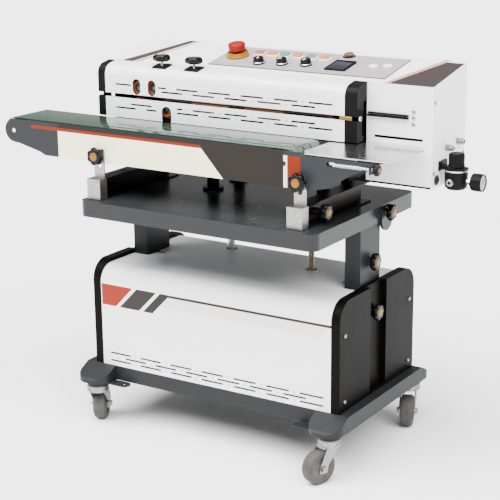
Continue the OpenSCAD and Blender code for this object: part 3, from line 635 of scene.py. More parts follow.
def belt_surface(name, color):
    """Glossy conveyor belt: long faint rub lines along X, soft mottling and a clear wet-looking top."""
    mat = bpy.data.materials.new(name + "_finish")
    FINISHES[name] = mat
    mat.use_nodes = True
    nt = mat.node_tree
    nt.nodes.clear()
    out = nt.nodes.new("ShaderNodeOutputMaterial")
    out.label = "Belt surface"
    out.location = (800, 0)
    bsdf = nt.nodes.new("ShaderNodeBsdfPrincipled")
    bsdf.label = "Belt skin"
    bsdf.location = (500, 0)
    bsdf.inputs["IOR"].default_value = 1.55
    bsdf.inputs["Specular Tint"].default_value = (0.52, 1.0, 0.78, 1.0)
    nt.links.new(bsdf.outputs["BSDF"], out.inputs["Surface"])
    coords = nt.nodes.new("ShaderNodeTexCoord")
    coords.label = "Place on the object"
    coords.location = (-1200, 0)
    rubs = nt.nodes.new("NodeFrame")
    rubs.label = "Rub lines"
    along = nt.nodes.new("ShaderNodeMapping")
    along.label = "Along the run"
    along.location = (-980, -200)
    along.parent = rubs
    along.inputs["Scale"].default_value = (1.5, 130.0, 130.0)
    nt.links.new(coords.outputs["Object"], along.inputs["Vector"])
    rub = nt.nodes.new("ShaderNodeTexNoise")
    rub.label = "Rub lines"
    rub.location = (-760, -200)
    rub.parent = rubs
    rub.inputs["Scale"].default_value = 1.0
    rub.inputs["Detail"].default_value = 4.0
    nt.links.new(along.outputs["Vector"], rub.inputs["Vector"])
    rough = nt.nodes.new("ShaderNodeMapRange")
    rough.label = "Rubs to roughness"
    rough.location = (-520, -120)
    rough.parent = rubs
    rough.inputs["To Min"].default_value = 0.05
    rough.inputs["To Max"].default_value = 0.13
    nt.links.new(rub.outputs["Fac"], rough.inputs["Value"])
    nt.links.new(rough.outputs["Result"], bsdf.inputs["Roughness"])
    bump = nt.nodes.new("ShaderNodeBump")
    bump.label = "Rub depth"
    bump.location = (-520, -360)
    bump.parent = rubs
    bump.inputs["Strength"].default_value = 0.04
    bump.inputs["Distance"].default_value = 0.0002
    nt.links.new(rub.outputs["Fac"], bump.inputs["Height"])
    nt.links.new(bump.outputs["Normal"], bsdf.inputs["Normal"])
    mottle = nt.nodes.new("NodeFrame")
    mottle.label = "Mottling"
    cloud = nt.nodes.new("ShaderNodeTexNoise")
    cloud.label = "Mottling"
    cloud.location = (-760, 250)
    cloud.parent = mottle
    cloud.inputs["Scale"].default_value = 22.0
    nt.links.new(coords.outputs["Object"], cloud.inputs["Vector"])
    tone = nt.nodes.new("ShaderNodeMapRange")
    tone.label = "Mottling to brightness"
    tone.location = (-520, 250)
    tone.parent = mottle
    tone.inputs["To Min"].default_value = 0.8
    tone.inputs["To Max"].default_value = 1.2
    nt.links.new(cloud.outputs["Fac"], tone.inputs["Value"])
    tinted = nt.nodes.new("ShaderNodeHueSaturation")
    tinted.label = "Belt colour"
    tinted.location = (-280, 250)
    tinted.parent = mottle
    tinted.inputs["Color"].default_value = (*color, 1.0)
    nt.links.new(tone.outputs["Result"], tinted.inputs["Value"])
    nt.links.new(tinted.outputs["Color"], bsdf.inputs["Base Color"])
    return mat


def woven_band(name, color):
    """Coated glass band: crossed threads as two wave textures, under a waxy coat."""
    mat = bpy.data.materials.new(name + "_finish")
    FINISHES[name] = mat
    mat.use_nodes = True
    nt = mat.node_tree
    nt.nodes.clear()
    out = nt.nodes.new("ShaderNodeOutputMaterial")
    out.label = "Band surface"
    out.location = (800, 0)
    bsdf = nt.nodes.new("ShaderNodeBsdfPrincipled")
    bsdf.label = "Waxy coat"
    bsdf.location = (500, 0)
    bsdf.inputs["Roughness"].default_value = 0.35
    bsdf.inputs["Base Color"].default_value = (*color, 1.0)
    nt.links.new(bsdf.outputs["BSDF"], out.inputs["Surface"])
    coords = nt.nodes.new("ShaderNodeTexCoord")
    coords.label = "Place on the object"
    coords.location = (-1100, 0)
    weave = nt.nodes.new("NodeFrame")
    weave.label = "Weave"
    total = nt.nodes.new("ShaderNodeMath")
    total.operation = "ADD"
    total.label = "Warp and weft"
    total.location = (-500, -200)
    total.parent = weave
    for index, direction in enumerate(("X", "Y")):
        wave = nt.nodes.new("ShaderNodeTexWave")
        wave.bands_direction = direction
        wave.label = "Warp threads" if index == 0 else "Weft threads"
        wave.location = (-800, -100 - 300 * index)
        wave.parent = weave
        wave.inputs["Scale"].default_value = 260.0
        wave.inputs["Distortion"].default_value = 0.4
        nt.links.new(coords.outputs["Object"], wave.inputs["Vector"])
        nt.links.new(wave.outputs["Fac"], total.inputs[index])
    bump = nt.nodes.new("ShaderNodeBump")
    bump.label = "Thread height"
    bump.location = (-260, -200)
    bump.parent = weave
    bump.inputs["Strength"].default_value = 0.3
    bump.inputs["Distance"].default_value = 0.0002
    nt.links.new(total.outputs["Value"], bump.inputs["Height"])
    nt.links.new(bump.outputs["Normal"], bsdf.inputs["Normal"])
    return mat


def clear_plastic(name, color, strength=0.75):
    """Clear or milky tube: partly let-through light with faint streaks along the draw."""
    mat = bpy.data.materials.new(name + "_finish")
    FINISHES[name] = mat
    mat.use_nodes = True
    nt = mat.node_tree
    nt.nodes.clear()
    out = nt.nodes.new("ShaderNodeOutputMaterial")
    out.label = "Tube surface"
    out.location = (600, 0)
    bsdf = nt.nodes.new("ShaderNodeBsdfPrincipled")
    bsdf.label = "Tube wall"
    bsdf.location = (300, 0)
    bsdf.inputs["Base Color"].default_value = (*color, 1.0)
    bsdf.inputs["Transmission Weight"].default_value = strength
    bsdf.inputs["IOR"].default_value = 1.45
    nt.links.new(bsdf.outputs["BSDF"], out.inputs["Surface"])
    coords = nt.nodes.new("ShaderNodeTexCoord")
    coords.label = "Place on the object"
    coords.location = (-700, 0)
    streaks = nt.nodes.new("NodeFrame")
    streaks.label = "Draw streaks"
    noise = nt.nodes.new("ShaderNodeTexNoise")
    noise.label = "Draw streaks"
    noise.location = (-450, 0)
    noise.parent = streaks
    noise.inputs["Scale"].default_value = 120.0
    nt.links.new(coords.outputs["Object"], noise.inputs["Vector"])
    rough = nt.nodes.new("ShaderNodeMapRange")
    rough.label = "Streaks to roughness"
    rough.location = (-200, 0)
    rough.parent = streaks
    rough.inputs["To Min"].default_value = 0.08
    rough.inputs["To Max"].default_value = 0.28
    nt.links.new(noise.outputs["Fac"], rough.inputs["Value"])
    nt.links.new(rough.outputs["Result"], bsdf.inputs["Roughness"])
    return mat


# ---------------------------------------------------------------- surfaces

def unit(vector):
    return np.asarray(vector, float) / np.linalg.norm(vector)


def cross_axes(axis):
    """Two directions square to an axis and to each other."""
    axis = unit(axis)
    helper = Z_AXIS if abs(axis[2]) < 0.9 else X_AXIS
    u = unit(np.cross(helper, axis))
    return u, np.cross(axis, u)


def grid_piece(name, points, mat, wrap_u=False, wrap_v=True, close=True, smooth=True):
    """A surface from a grid of points P(u, v); rows are u, columns are v.

    Each cell of the grid is one face. wrap_v joins the last column to the first, wrap_u the last
    row to the first, and close puts a face over the first and the last row. Faces are turned to
    point outwards by the sign of the closed volume.
    """
    rows, cols = points.shape[:2]
    verts = points.reshape(-1, 3)
    i = np.arange(rows if wrap_u else rows - 1)
    j = np.arange(cols if wrap_v else cols - 1)
    ii, jj = np.meshgrid(i, j, indexing="ij")
    a = ii * cols + jj
    b = ii * cols + (jj + 1) % cols
    c = ((ii + 1) % rows) * cols + (jj + 1) % cols
    d = ((ii + 1) % rows) * cols + jj
    quads = np.stack([a, b, c, d], axis=-1).reshape(-1, 4)
    p0, p1, p2, p3 = (verts[quads[:, k]] for k in range(4))
    volume = np.einsum("ij,ij->i", p0, np.cross(p1, p2)).sum() + np.einsum("ij,ij->i", p0,
        np.cross(p2, p3)).sum()
    caps = []
    if close and not wrap_u:
        first = np.arange(cols)[::-1]
        last = (rows - 1) * cols + np.arange(cols)
        caps = [first, last]
        for ring in caps:
            centre = verts[ring].mean(0)
            nxt = np.roll(ring, -1)
            volume += np.einsum("ij,ij->i", np.broadcast_to(centre, (cols, 3)),
                np.cross(verts[ring], verts[nxt])).sum()
    faces = [tuple(f) for f in quads.tolist()] + [tuple(r.tolist()) for r in caps]
    if volume < 0:
        faces = [f[::-1] for f in faces]
    mesh = bpy.data.meshes.new(name)
    mesh.from_pydata(verts.tolist(), [], faces)
    mesh.update()
    if smooth:
        mesh.polygons.foreach_set("use_smooth", np.ones(len(mesh.polygons), bool))
        mesh.set_sharp_from_angle(angle=math.radians(38))
    mesh.materials.append(mat)
    obj = bpy.data.objects.new(name, mesh)
    bpy.context.scene.collection.objects.link(obj)
    return obj


def turned(profile, origin, axis, segments=64, lobes=0, depth=0.0, fade=0.35, phase=0.0):
    """Points of a turned form: the ring at height h on the axis has radius r, from the profile (r, h).

    With lobes, the radius at angle t is r * (1 - depth * w * (0.5 - 0.5 * cos(lobes * t)) ** 1.5),
    where w grows from 0 to 1 as r passes fade times the largest radius.
    """
    profile = np.asarray(profile, float)
    u, v = cross_axes(axis)
    t = np.linspace(0, 2 * math.pi, segments, endpoint=False) + phase
    r = profile[:, 0][:, None] * np.ones(segments)[None, :]
    if lobes:
        biggest = profile[:, 0].max()
        w = np.clip((profile[:, 0] / biggest - fade) / (1 - fade), 0, 1)[:, None]
        r = r * (1 - depth * w * (0.5 - 0.5 * np.cos(lobes * t))[None, :] ** 1.5)
    ring = np.cos(t)[None, :, None] * u + np.sin(t)[None, :, None] * v
    return np.asarray(origin, float) + r[:, :, None] * ring + profile[:, 1][:, None, None] * unit(axis)


def rounded_profile(points, radius, steps=4):
    """A polyline (r, h) whose inner corners are replaced by short arcs: each corner point moves
    along a quadratic curve between two points at the given distance before and after it."""
    points = np.asarray(points, float)
    made = [points[0]]
    for k in range(1, len(points) - 1):
        before, corner, after = points[k - 1], points[k], points[k + 1]
        la, lb = np.linalg.norm(before - corner), np.linalg.norm(after - corner)
        cut = min(radius, la * 0.45, lb * 0.45)
        a = corner + (before - corner) / max(la, 1e-9) * cut
        b = corner + (after - corner) / max(lb, 1e-9) * cut
        s = np.linspace(0, 1, steps + 1)[:, None]
        made.extend((1 - s) ** 2 * a + 2 * s * (1 - s) * corner + s ** 2 * b)
    made.append(points[-1])
    return np.array(made)


def tube(path, radius, segments=16):
    """Points of a tube: round each path point stands a ring of the given radius, in the plane
    square to the path; the ring's first direction is carried along so that it does not twist."""
    path = np.asarray(path, float)
    radius = np.broadcast_to(np.asarray(radius, float), (len(path),))
    tangent = np.gradient(path, axis=0)
    tangent /= np.linalg.norm(tangent, axis=1)[:, None]
    first, _ = cross_axes(tangent[0])
    normals = [first]
    for k in range(1, len(path)):
        n = normals[-1] - np.dot(normals[-1], tangent[k]) * tangent[k]
        normals.append(n / np.linalg.norm(n))
    normals = np.array(normals)
    binormals = np.cross(tangent, normals)
    t = np.linspace(0, 2 * math.pi, segments, endpoint=False)
    ring = np.cos(t)[None, :, None] * normals[:, None, :] + np.sin(t)[None, :, None] * binormals[:, None, :]
    return path[:, None, :] + radius[:, None, None] * ring


def slab(outline, heights, insets, origin, u, v, normal):
    """Points of a plate with shaped edges: ring k is the outline moved inwards by insets[k] along
    its own normals, at heights[k] above the base plane spanned by u and v."""
    outline = np.asarray(outline, float)
    ahead = np.roll(outline, -1, axis=0) - np.roll(outline, 1, axis=0)
    ahead /= np.linalg.norm(ahead, axis=1)[:, None]
    inward = np.stack([-ahead[:, 1], ahead[:, 0]], axis=1)
    rings = outline[None, :, :] + np.asarray(insets, float)[:, None, None] * inward[None, :, :]
    return (np.asarray(origin, float) + rings[:, :, 0:1] * u + rings[:, :, 1:2] * v
            + np.asarray(heights, float)[:, None, None] * normal)


def round_corners(w, d, r, steps=8):
    """Outline of a rectangle w by d with corner radius r, walked anticlockwise."""
    t = np.linspace(0, math.pi / 2, steps)
    parts = []
    for k, (sx, sy) in enumerate(((1, 1), (-1, 1), (-1, -1), (1, -1))):
        a = t + k * math.pi / 2
        centre = np.array([sx * (w / 2 - r), sy * (d / 2 - r)])
        parts.append(centre + r * np.stack([np.cos(a), np.sin(a)], axis=1))
    return np.concatenate(parts)


def slant_point(x, y, w=0.0):
    """A point w above the head's tilted top, from the control panel's own box."""
    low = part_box("control_panel")[0]
    z = low.z + (y - low.y) * math.tan(TILT)
    return np.array([x, y, z]) + w * SLANT_NORMAL


def axis_of(body):
    joint = JOINTS[body]
    return unit(joint["axis"]), np.array(joint.get("pos_m", (0, 0, 0)), float)


def span_on(node, axis, point):
    """Lowest and highest place of a node along an axis through a point, and its largest radius."""
    data = frame["nodes"][node].data
    co = np.empty(len(data.vertices) * 3, np.float32)
    data.vertices.foreach_get("co", co)
    rel = co.reshape(-1, 3).astype(float) - point
    along = rel @ axis
    radius = np.linalg.norm(rel - along[:, None] * axis, axis=1)
    return along.min(), along.max(), radius.max()


def put(obj, body, *nodes, slot=None):
    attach(obj, body)
    if nodes:
        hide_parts(*nodes)
    return obj


def dress(node, mat):
    data = frame["nodes"][node].data
    data.materials.clear()
    data.materials.append(mat)


def material(name):
    return FINISHES[name]


# ---------------------------------------------------------------- operators

class BS_OT_finishes(bpy.types.Operator):
    """Make the finishes and put them on the frame's own pieces"""
    bl_idname = "band_sealer.finishes"
    bl_label = "Finishes"

    def execute(self, context):
        scene = context.scene
        paint, knob, cast = scene.bs_paint, scene.bs_knob, scene.bs_caster
        belt, head = scene.bs_belt, scene.bs_head
        orange, brown = tuple(paint.print_orange), tuple(paint.print_brown)
        cream = tuple(paint.print_cream)
        white = tuple(paint.white)

        # marks on the cabinet front: leaning bars above a thin line and a faint cream band
        low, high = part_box("front_cover")
        front = (0, -1, 0, -(low.y + SKIN))
        lean = 0.98

        def bar(x_left, x_right, z_top, z_bottom, slope):
            """Half planes of a leaning bar; slope is the sideways run per unit of height."""
            return [front, (1, 0, -slope, x_left - slope * z_top),
                (-1, 0, slope, -(x_right - slope * z_top)),
                    (0, 0, -1, -z_top), (0, 0, 1, z_bottom)]

        top = 0.3415
        # painted shade: the front cover's inner faces below 0.32 m are darkened for the shade inside the
        # cabinet
        inside = ("Dark inside", PAINTED_INSIDE_SHADE, [(0, 1, 0, low.y + SKIN), (0, 0, -1, -0.32)])
        bars = [
            inside,
            ("Cream band", (0.78, 0.72, 0.68), bar(-0.133, 0.304, 0.336, 0.309, 1.0)),
            ("Orange bar", orange, [front, (1, 0, 0, low.x + 0.002), (-1, 0, lean, 0.214 + lean * top),
                                        (0, 0, -1, -top), (0, 0, 1, 0.291)]),
            ("Wide brown bar", brown, bar(-0.203, -0.148, top, 0.291, lean)),
            ("Narrow brown bar", brown, bar(-0.137, -0.110, top, 0.291, lean)),
            ("Thin line", brown, [front, (1, 0, 0, -0.125), (0, 0, -1, -top), (0, 0, 1, 0.3355)]),
        ]
        # the slot rows paint shade round the front cover's vent slots
        painted_metal("cabinet_white", white, roughness=0.34, coat=0.0, shine=0.2, marks=bars, slots=[
            ("Top vent row", 0.1755, -0.2835, 7, VENT_STEP, VENT_LENGTH),
            ("Middle vent row", 0.166, -0.2405, 6, VENT_STEP, VENT_LENGTH),
            ("Low vent row", 0.157, -0.2835, 7, VENT_STEP, VENT_LENGTH)])
        # painted shade: the rear cover's inner faces below 0.32 m are darkened for the shade inside the
        # cabinet
        behind = ("Dark inside", PAINTED_INSIDE_SHADE, [(0, -1, 0, -(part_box("rear_cover")[1].y - SKIN)),
            (0, 0, -1, -0.32)])
        painted_metal("cover_white", white, roughness=0.34, coat=0.0, shine=0.25, marks=[behind])

        # marks on the head's top: a leaning stripe at the left and a brown field at the right
        low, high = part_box("head_housing")
        on_top = (0, -math.sin(TILT), math.cos(TILT), -math.sin(TILT) * low.y + math.cos(TILT) * 0.8355)

        def slope_line(x0, y0, x1, y1, keep_right):
            """Half plane to one side of the line through two points of the top, seen from above."""
            nx, ny = y1 - y0, -(x1 - x0)
            size = math.hypot(nx, ny) * (1 if keep_right else -1)
            nx, ny = nx / size, ny / size
            return (nx, ny, 0, nx * x0 + ny * y0)

        field = [
            ("Brown stripe", (0.036, 0.026, 0.021),
            [on_top, slope_line(-0.336, -0.021, -0.257, 0.136, True),
                                                           slope_line(-0.303, -0.021, -0.237, 0.132,
                                                           False)]),
            ("Orange stripe", (0.36, 0.12, 0.05), [on_top, slope_line(-0.298, -0.021, -0.232, 0.132, True),
                                                         slope_line(-0.288, -0.021, -0.226, 0.132, False)]),
            ("Pink line", (0.50, 0.24, 0.20), [on_top, slope_line(0.340, -0.027, 0.402, 0.124, True),
                                                    slope_line(0.352, -0.027, 0.417, 0.124, False)]),
            ("Brown field", (0.030, 0.022, 0.021), [on_top, slope_line(0.352, -0.027, 0.417, 0.124, True),
                                                         (0, -1, 0, -0.124)]),
        ]
        painted_metal("head_white", white, roughness=0.34, coat=0.0, shine=0.2, marks=field)
        low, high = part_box("guard_lower")
        # painted shade: the guard's inner faces below 0.80 m are darkened for the shade inside the head
        guard_inside_shade = ("Dark inside", PAINTED_INSIDE_SHADE, [(0, 1, 0, low.y + SKIN), (0, 0, -1, -0.80)])
        # the slot rows paint shade round the guard's slots
        painted_metal("guard_white", white, roughness=0.22, coat=0.0, shine=0.6, marks=[guard_inside_shade], slots=[
            ("Upper guard long slots", 0.788, -0.1545, 5, VENT_STEP, VENT_LENGTH),
            ("Upper guard left slot", 0.788, -0.325, 1, 1.0, 0.044),
            ("Upper guard short slot", 0.788, -0.205, 1, 1.0, 0.0226),
            ("Upper guard second row", 0.779, -0.1964, 5, VENT_STEP, VENT_LENGTH),
            ("Lower guard left slot", 0.744, -0.281, 1, 1.0, 0.057),
            ("Lower guard short slot", 0.744, -0.154, 1, 1.0, 0.015),
            ("Lower guard long slots", 0.744, -0.111, 4, VENT_STEP, VENT_LENGTH),
            ("Second row left slot", 0.7345, -0.3245, 1, 1.0, 0.057),
            ("Second row short slot", 0.7345, -0.2395, 1, 1.0, 0.029),
            ("Second row long slots", 0.7345, -0.1543, 5, VENT_STEP, VENT_LENGTH)])

        # marks on the conveyor skirt: orange edge line, cream panel, brown field, white and orange bars
        face = (0, -1, 0, 0.1993)
        skirt = [
            ("Brown field", (0.0145, 0.0115, 0.0095), [face, (1, 0, 0, -0.60), (-1, 0, 0, -0.206)]),
            ("Cream panel", cream, [face, (1, 0, 0, -0.392), (-0.739, 0, -0.673, -0.4666),
            (0, 0, -1, -0.6935)]),
            ("Left plate", (0.0195, 0.021, 0.0225), [face, (-1, 0, 0, 0.392)]),
            ("Orange edge", (0.17, 0.014, 0.001), [face, (0, 0, 1, 0.6935), (0, 0, -1, -0.7005),
                                                     (1, 0, 0, -0.470), (-0.739, 0, -0.673, -0.4690)]),
            ("White bar", (0.80, 0.78, 0.74), [face, (1, 0, 0, 0.204), (-1, 0, 0, -0.213),
            (0, 0, -1, -0.7005)]),
            ("Orange bar", (0.16, 0.014, 0.001), [face, (1, 0, 0, 0.213), (-1, 0, 0, -0.244),
            (0, 0, -1, -0.7005)]),
        ]
        painted_metal("skirt_print", tuple(paint.skirt_grey), roughness=0.36, coat=0.0, shine=0.12,
            marks=skirt)

        painted_metal("frame_grey", tuple(paint.dark_grey), roughness=0.42, peel=0.22, grain=700.0,
            coat=0.0, shine=0.14)
        painted_metal("tray_grey", (0.0165, 0.018, 0.0192), roughness=0.26, peel=0.12, grain=700.0,
            coat=0.0, shine=0.18)
        painted_metal("side_black", tuple(paint.panel_black), roughness=0.42, peel=0.25, grain=1100.0,
            coat=0.0, shine=0.04)
        painted_metal("rail_brown", tuple(paint.rail_brown), roughness=0.3, peel=0.15, coat=0.0, shine=0.07)
        # the control panel has a thin dark outline along its four sides
        low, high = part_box("control_panel")
        outline = [(label, (0.06, 0.05, 0.05), [plane,
            (0, -math.sin(TILT), math.cos(TILT), 0.0)]) for label, plane in (
            ("Left outline", (-1, 0, 0, -(low.x + 0.0018))), ("Right outline", (1, 0, 0, high.x - 0.0018)),
            ("Front outline", (0, -1, 0, -(low.y + 0.0018))), ("Back outline", (0, 1, 0, high.y - 0.0018)))]
        painted_metal("lilac_panel", (0.36, 0.31, 0.325), roughness=0.3, peel=0.05, coat=0.3, marks=outline)
        painted_metal("motor_paint", (0.03, 0.034, 0.038), roughness=0.5, peel=0.5, grain=400.0, coat=0.0,
            shine=0.2)
        moulded_plastic("cap_black", (0.004, 0.004, 0.0042), roughness=0.42, texture=0.3, shine=0.07)
        moulded_plastic("grip_black", tuple(knob.body), roughness=0.22, coat=0.0, shine=0.14)
        moulded_plastic("amber_cap", tuple(knob.amber), roughness=0.16, shine=0.3)
        moulded_plastic("brown_cap", (0.07, 0.022, 0.008), roughness=0.16, shine=0.3)
        moulded_plastic("stop_red", tuple(head.stop_red), roughness=0.3, shine=0.2)
        moulded_plastic("stop_yellow", tuple(head.stop_yellow), roughness=0.3, shine=0.2)
        moulded_plastic("switch_teal", tuple(head.teal), roughness=0.2, coat=0.5)
        moulded_plastic("switch_orange", tuple(head.orange), roughness=0.2, coat=0.3)
        moulded_plastic("switch_pink", (0.42, 0.12, 0.14), roughness=0.2, coat=0.3)
        moulded_plastic("screen_dark", (0.012, 0.011, 0.022), roughness=0.12, texture=0.0, coat=0.1,
            shine=0.3)
        moulded_plastic("button_brown", (0.11, 0.055, 0.03), roughness=0.25, coat=0.5)
        moulded_plastic("white_plastic", (0.78, 0.78, 0.76), roughness=0.35)
        moulded_plastic("dial_face", (0.22, 0.22, 0.22), roughness=0.12, texture=0.0, coat=0.4)
        machined_metal("zinc", (0.27, 0.265, 0.265), roughness=0.30, stretch=(1.0, 1.0, 1.0), scale=60.0,
            cloud=0.22)
        machined_metal("bracket_zinc", (0.36, 0.35, 0.345), roughness=0.34, stretch=(1.0, 1.0, 1.0),
            scale=60.0, cloud=0.3,
                       painted_behind=-0.1995)
        machined_metal("bright_steel", (0.70, 0.70, 0.71), roughness=0.16, stretch=(1.0, 40.0, 40.0),
            scale=40.0)
        machined_metal("stainless", (0.66, 0.655, 0.65), roughness=0.20, stretch=(2.0, 90.0, 90.0),
            scale=14.0, depth=0.12, cloud=0.04)
        machined_metal("thread_yellow", (0.56, 0.50, 0.34), roughness=0.32, stretch=(1.0, 1.0, 12.0),
            scale=90.0)
        machined_metal("guide_steel", (0.12, 0.125, 0.13), roughness=0.4, stretch=(40.0, 40.0, 1.0),
            scale=20.0)
        machined_metal("copper_block", (0.50, 0.20, 0.09), roughness=0.35, stretch=(2.0, 60.0, 60.0),
            scale=20.0)
        machined_metal("brass", (0.17, 0.11, 0.04), roughness=0.25, stretch=(30.0, 30.0, 1.0), scale=30.0)
        rubber("tyre_grey", tuple(cast.tyre), roughness=0.62)
        rubber("hub_grey", (0.07, 0.069, 0.067), roughness=0.45, pores=0.1, dust=0.15)
        rubber("grommet_black", (0.005, 0.005, 0.005), roughness=0.5)
        rubber("silicone_orange", tuple(head.silicone), roughness=0.4, pores=0.05, dust=0.1)
        belt_surface("belt_green", tuple(belt.green))
        woven_band("band_brown", (0.14, 0.07, 0.03))
        clear_plastic("clear_hose", (0.90, 0.93, 0.94), 0.8)
        clear_plastic("milky_conduit", (0.88, 0.88, 0.84), 0.15)

        wear = {
            "base_frame": "frame_grey", "front_cover": "cabinet_white", "rear_cover": "cover_white",
            "side_panel_right": "side_black", "side_panel_left": "side_black", "panel_screws": "zinc",
            "lift_guides": "guide_steel", "air_pump": "motor_paint", "lift_columns": "frame_grey",
            "tray": "tray_grey", "lift_screw": "thread_yellow", "air_hose": "milky_conduit",
            "slide_rails": "rail_brown", "head_chassis": "rail_brown", "head_housing": "head_white",
            "head_back_cover": "cover_white", "guard_upper": "guard_white", "guard_lower": "guard_white",
            "guard_caps": "cap_black", "control_panel": "lilac_panel", "panel_instruments": "cap_black",
            "head_fittings": "cap_black", "sealing_blocks": "copper_block", "drive_motor": "motor_paint",
            "seal_bands": "band_brown", "slide_brackets": "bracket_zinc", "conveyor_frame": "skirt_print",
            "conveyor_belt": "belt_green", "belt_roller_left": "bright_steel",
            "belt_roller_right": "frame_grey",
            "side_table": "stainless", "round_button": "button_brown", "estop_button": "stop_red",
            "regulator_knob": "grip_black", "pressure_knob_left": "grip_black",
            "pressure_knob_right": "grip_black",
        }
        for node in frame["nodes"]:
            if node in wear:
                dress(node, material(wear[node]))
            elif node.startswith("caster_fork"):
                dress(node, material("zinc"))
            elif node.startswith("caster_wheel"):
                dress(node, material("tyre_grey"))
            elif node.startswith(("band_wheel", "press_wheel")):
                dress(node, material("silicone_orange"))
            else:
                dress(node, material("grip_black"))
        return {"FINISHED"}


class BS_OT_star_knobs(bpy.types.Operator):
    """Build the seven lobed clamp knobs with hub and amber cap"""
    bl_idname = "band_sealer.star_knobs"
    bl_label = "Star knobs"

    def execute(self, context):
        settings = context.scene.bs_knob
        sizes = {"knob_front_left": (6, 14), "knob_front_right": (6, 14), "knob_rail": (22, 17),
                 "knob_column": (6, 14), "knob_panel": (5, 12), "knob_tray": (6, 13), "knob_table": (5, 12)}
        for node, (hub, body) in sizes.items():
            axis, point = axis_of(node)
            low, high, radius = span_on(node, axis, point)
            if node == "knob_table":
                radius = 0.012
            hub, body = hub / 1000, body / 1000
            top = high - 0.002
            base = top - body
            r = radius * 0.995
            profile = rounded_profile([(0.0004, base), (r * 0.84, base), (r, base + body * 0.25),
                (r, base + body * 0.72),
                                       (r * 0.86, top), (r * 0.52, top), (0.0004, top)], body * 0.2)
            grip = grid_piece(node + "_grip", turned(profile, point, axis, 84, 7, settings.lobe_depth),
                material("grip_black"))
            put(grip, node, node, slot="knob_black")
            cap_r = r * 0.47
            s = np.linspace(0, 1, 9)
            dome = np.stack([np.maximum(cap_r * np.cos(s * math.pi / 2), 0.0002),
                             top - 0.0006 + 0.0025 * np.sin(s * math.pi / 2)], axis=1)
            skirt = np.array([[cap_r * 0.9, top - 0.003]])
            cap = grid_piece(node + "_cap", turned(np.concatenate([skirt, dome]), point, axis, 40),
                material("amber_cap"))
            put(cap, node, slot="knob_black")
            hub_profile = rounded_profile([(0.0004, base - hub + 0.0004), (r * 0.45, base - hub + 0.0004),
                                           (r * 0.42, base - 0.001), (r * 0.42, base + 0.001),
                                           (0.0004, base + 0.001)], 0.001)
            neck = grid_piece(node + "_hub", turned(hub_profile, point, axis, 40), material("zinc"))
            put(neck, node, slot="zinc")
            stud_r = 0.003 if node == "knob_table" else 0.004
            s = np.linspace(low, base - hub + 0.001, max(int((base - hub - low) / 0.0004), 8))
            ridge = 0.0003 * (0.5 - 0.5 * np.cos(2 * math.pi * (s - low) / 0.0015))
            stud = np.stack([stud_r - ridge, s], axis=1)
            stud = np.concatenate([[[0.0003, low]], stud, [[0.0003, s[-1]]]])
            bolt = grid_piece(node + "_stud", turned(stud, point, axis, 20), material("bright_steel"))
            put(bolt, node, slot="zinc")
            if node == "knob_table":
                bead_r = 0.0045
                t = np.linspace(0.05, math.pi - 0.05, 17)
                bead = np.stack([bead_r * np.sin(t), low + 0.0015 - bead_r * np.cos(t)], axis=1)
                ball = grid_piece("table_screw_bead", turned(bead, point, axis, 32),
                    material("bright_steel"))
                put(ball, node, slot="zinc")
                turns = np.linspace(0, 1, 14 * 16)
                u, v = cross_axes(axis)
                a = turns * 14 * 2 * math.pi
                path = (point + (low + 0.007 + turns * 0.055)[:, None] * axis
                        + 0.0042 * (np.cos(a)[:, None] * u + np.sin(a)[:, None] * v))
                spring = grid_piece("table_screw_spring", tube(path, 0.0005, 8), material("bright_steel"))
                put(spring, node, slot="zinc")
        return {"FINISHED"}


class BS_OT_casters(bpy.types.Operator):
    """Build tyres, hubs, ball races and axle bolts of the four casters"""
    bl_idname = "band_sealer.casters"
    bl_label = "Casters"

    def execute(self, context):
        race = context.scene.bs_caster.ball_race
        for corner in ("fr", "fl", "rr", "rl"):
            node = "caster_wheel_" + corner
            body = "wheel_" + corner
            fork = "fork_" + corner
            axis, point = axis_of(body)
            _, high, r = span_on(node, axis, point)
            half = high - 0.0015
            tyre_profile = rounded_profile([(0.0275, -half * 0.80), (0.0275, -half), (r * 0.93, -half),
                (r, -half * 0.55), (r, 0),
                                            (r, half * 0.55), (r * 0.93, half), (0.0275, half),
                                            (0.0275, half * 0.80)], 0.004, 6)
            ring = turned(tyre_profile, point, axis, 72)
            tyre = grid_piece("tyre_" + corner, ring, material("tyre_grey"), wrap_u=True)
            put(tyre, body, node, slot="wheel_tread")
            hub_profile = rounded_profile([(0.0042, -half - 0.0012), (0.009, -half - 0.0012),
                (0.010, -half + 0.003),
                                           (0.024, -half + 0.004), (0.0262, -half - 0.0002),
                                           (0.0278, -half - 0.0002),
                                           (0.0278, half + 0.0002), (0.0262, half + 0.0002),
                                           (0.024, half - 0.004),
                                           (0.010, half - 0.003), (0.009, half + 0.0012),
                                           (0.0042, half + 0.0012)], 0.001, 3)
            hub = grid_piece("hub_" + corner, turned(hub_profile, point, axis, 60), material("hub_grey"),
                wrap_u=True)
            put(hub, body, slot="wheel_tread")
            for side, name in ((1, "bolt"), (-1, "nut")):
                start = 0.019
                profile = [(0.0003, start), (0.0066, start), (0.0066, start + 0.0045),
                    (0.0054, start + 0.0052), (0.0003, start + 0.0052)]
                head = grid_piece(f"axle_{name}_{corner}", turned(profile, point, axis * side, 6),
                    material("bright_steel"), smooth=False)
                put(head, fork, slot="zinc")
            f_axis, f_point = axis_of(fork)
            _, f_high, _ = span_on("caster_fork_" + corner, f_axis, f_point)
            disc = rounded_profile([(0.0075, f_high - 0.0145), (0.0262, f_high - 0.0135),
                (0.0262, f_high - 0.009), (0.0235, f_high - race),
                                    (0.0258, f_high - race + 0.001), (0.0258, f_high - 0.001),
                                    (0.0075, f_high - 0.0004)], 0.0012, 4)
            cup = grid_piece("race_" + corner, turned(disc, f_point, f_axis, 64), material("zinc"),
                wrap_u=True)
            put(cup, fork, slot="zinc")
        return {"FINISHED"}


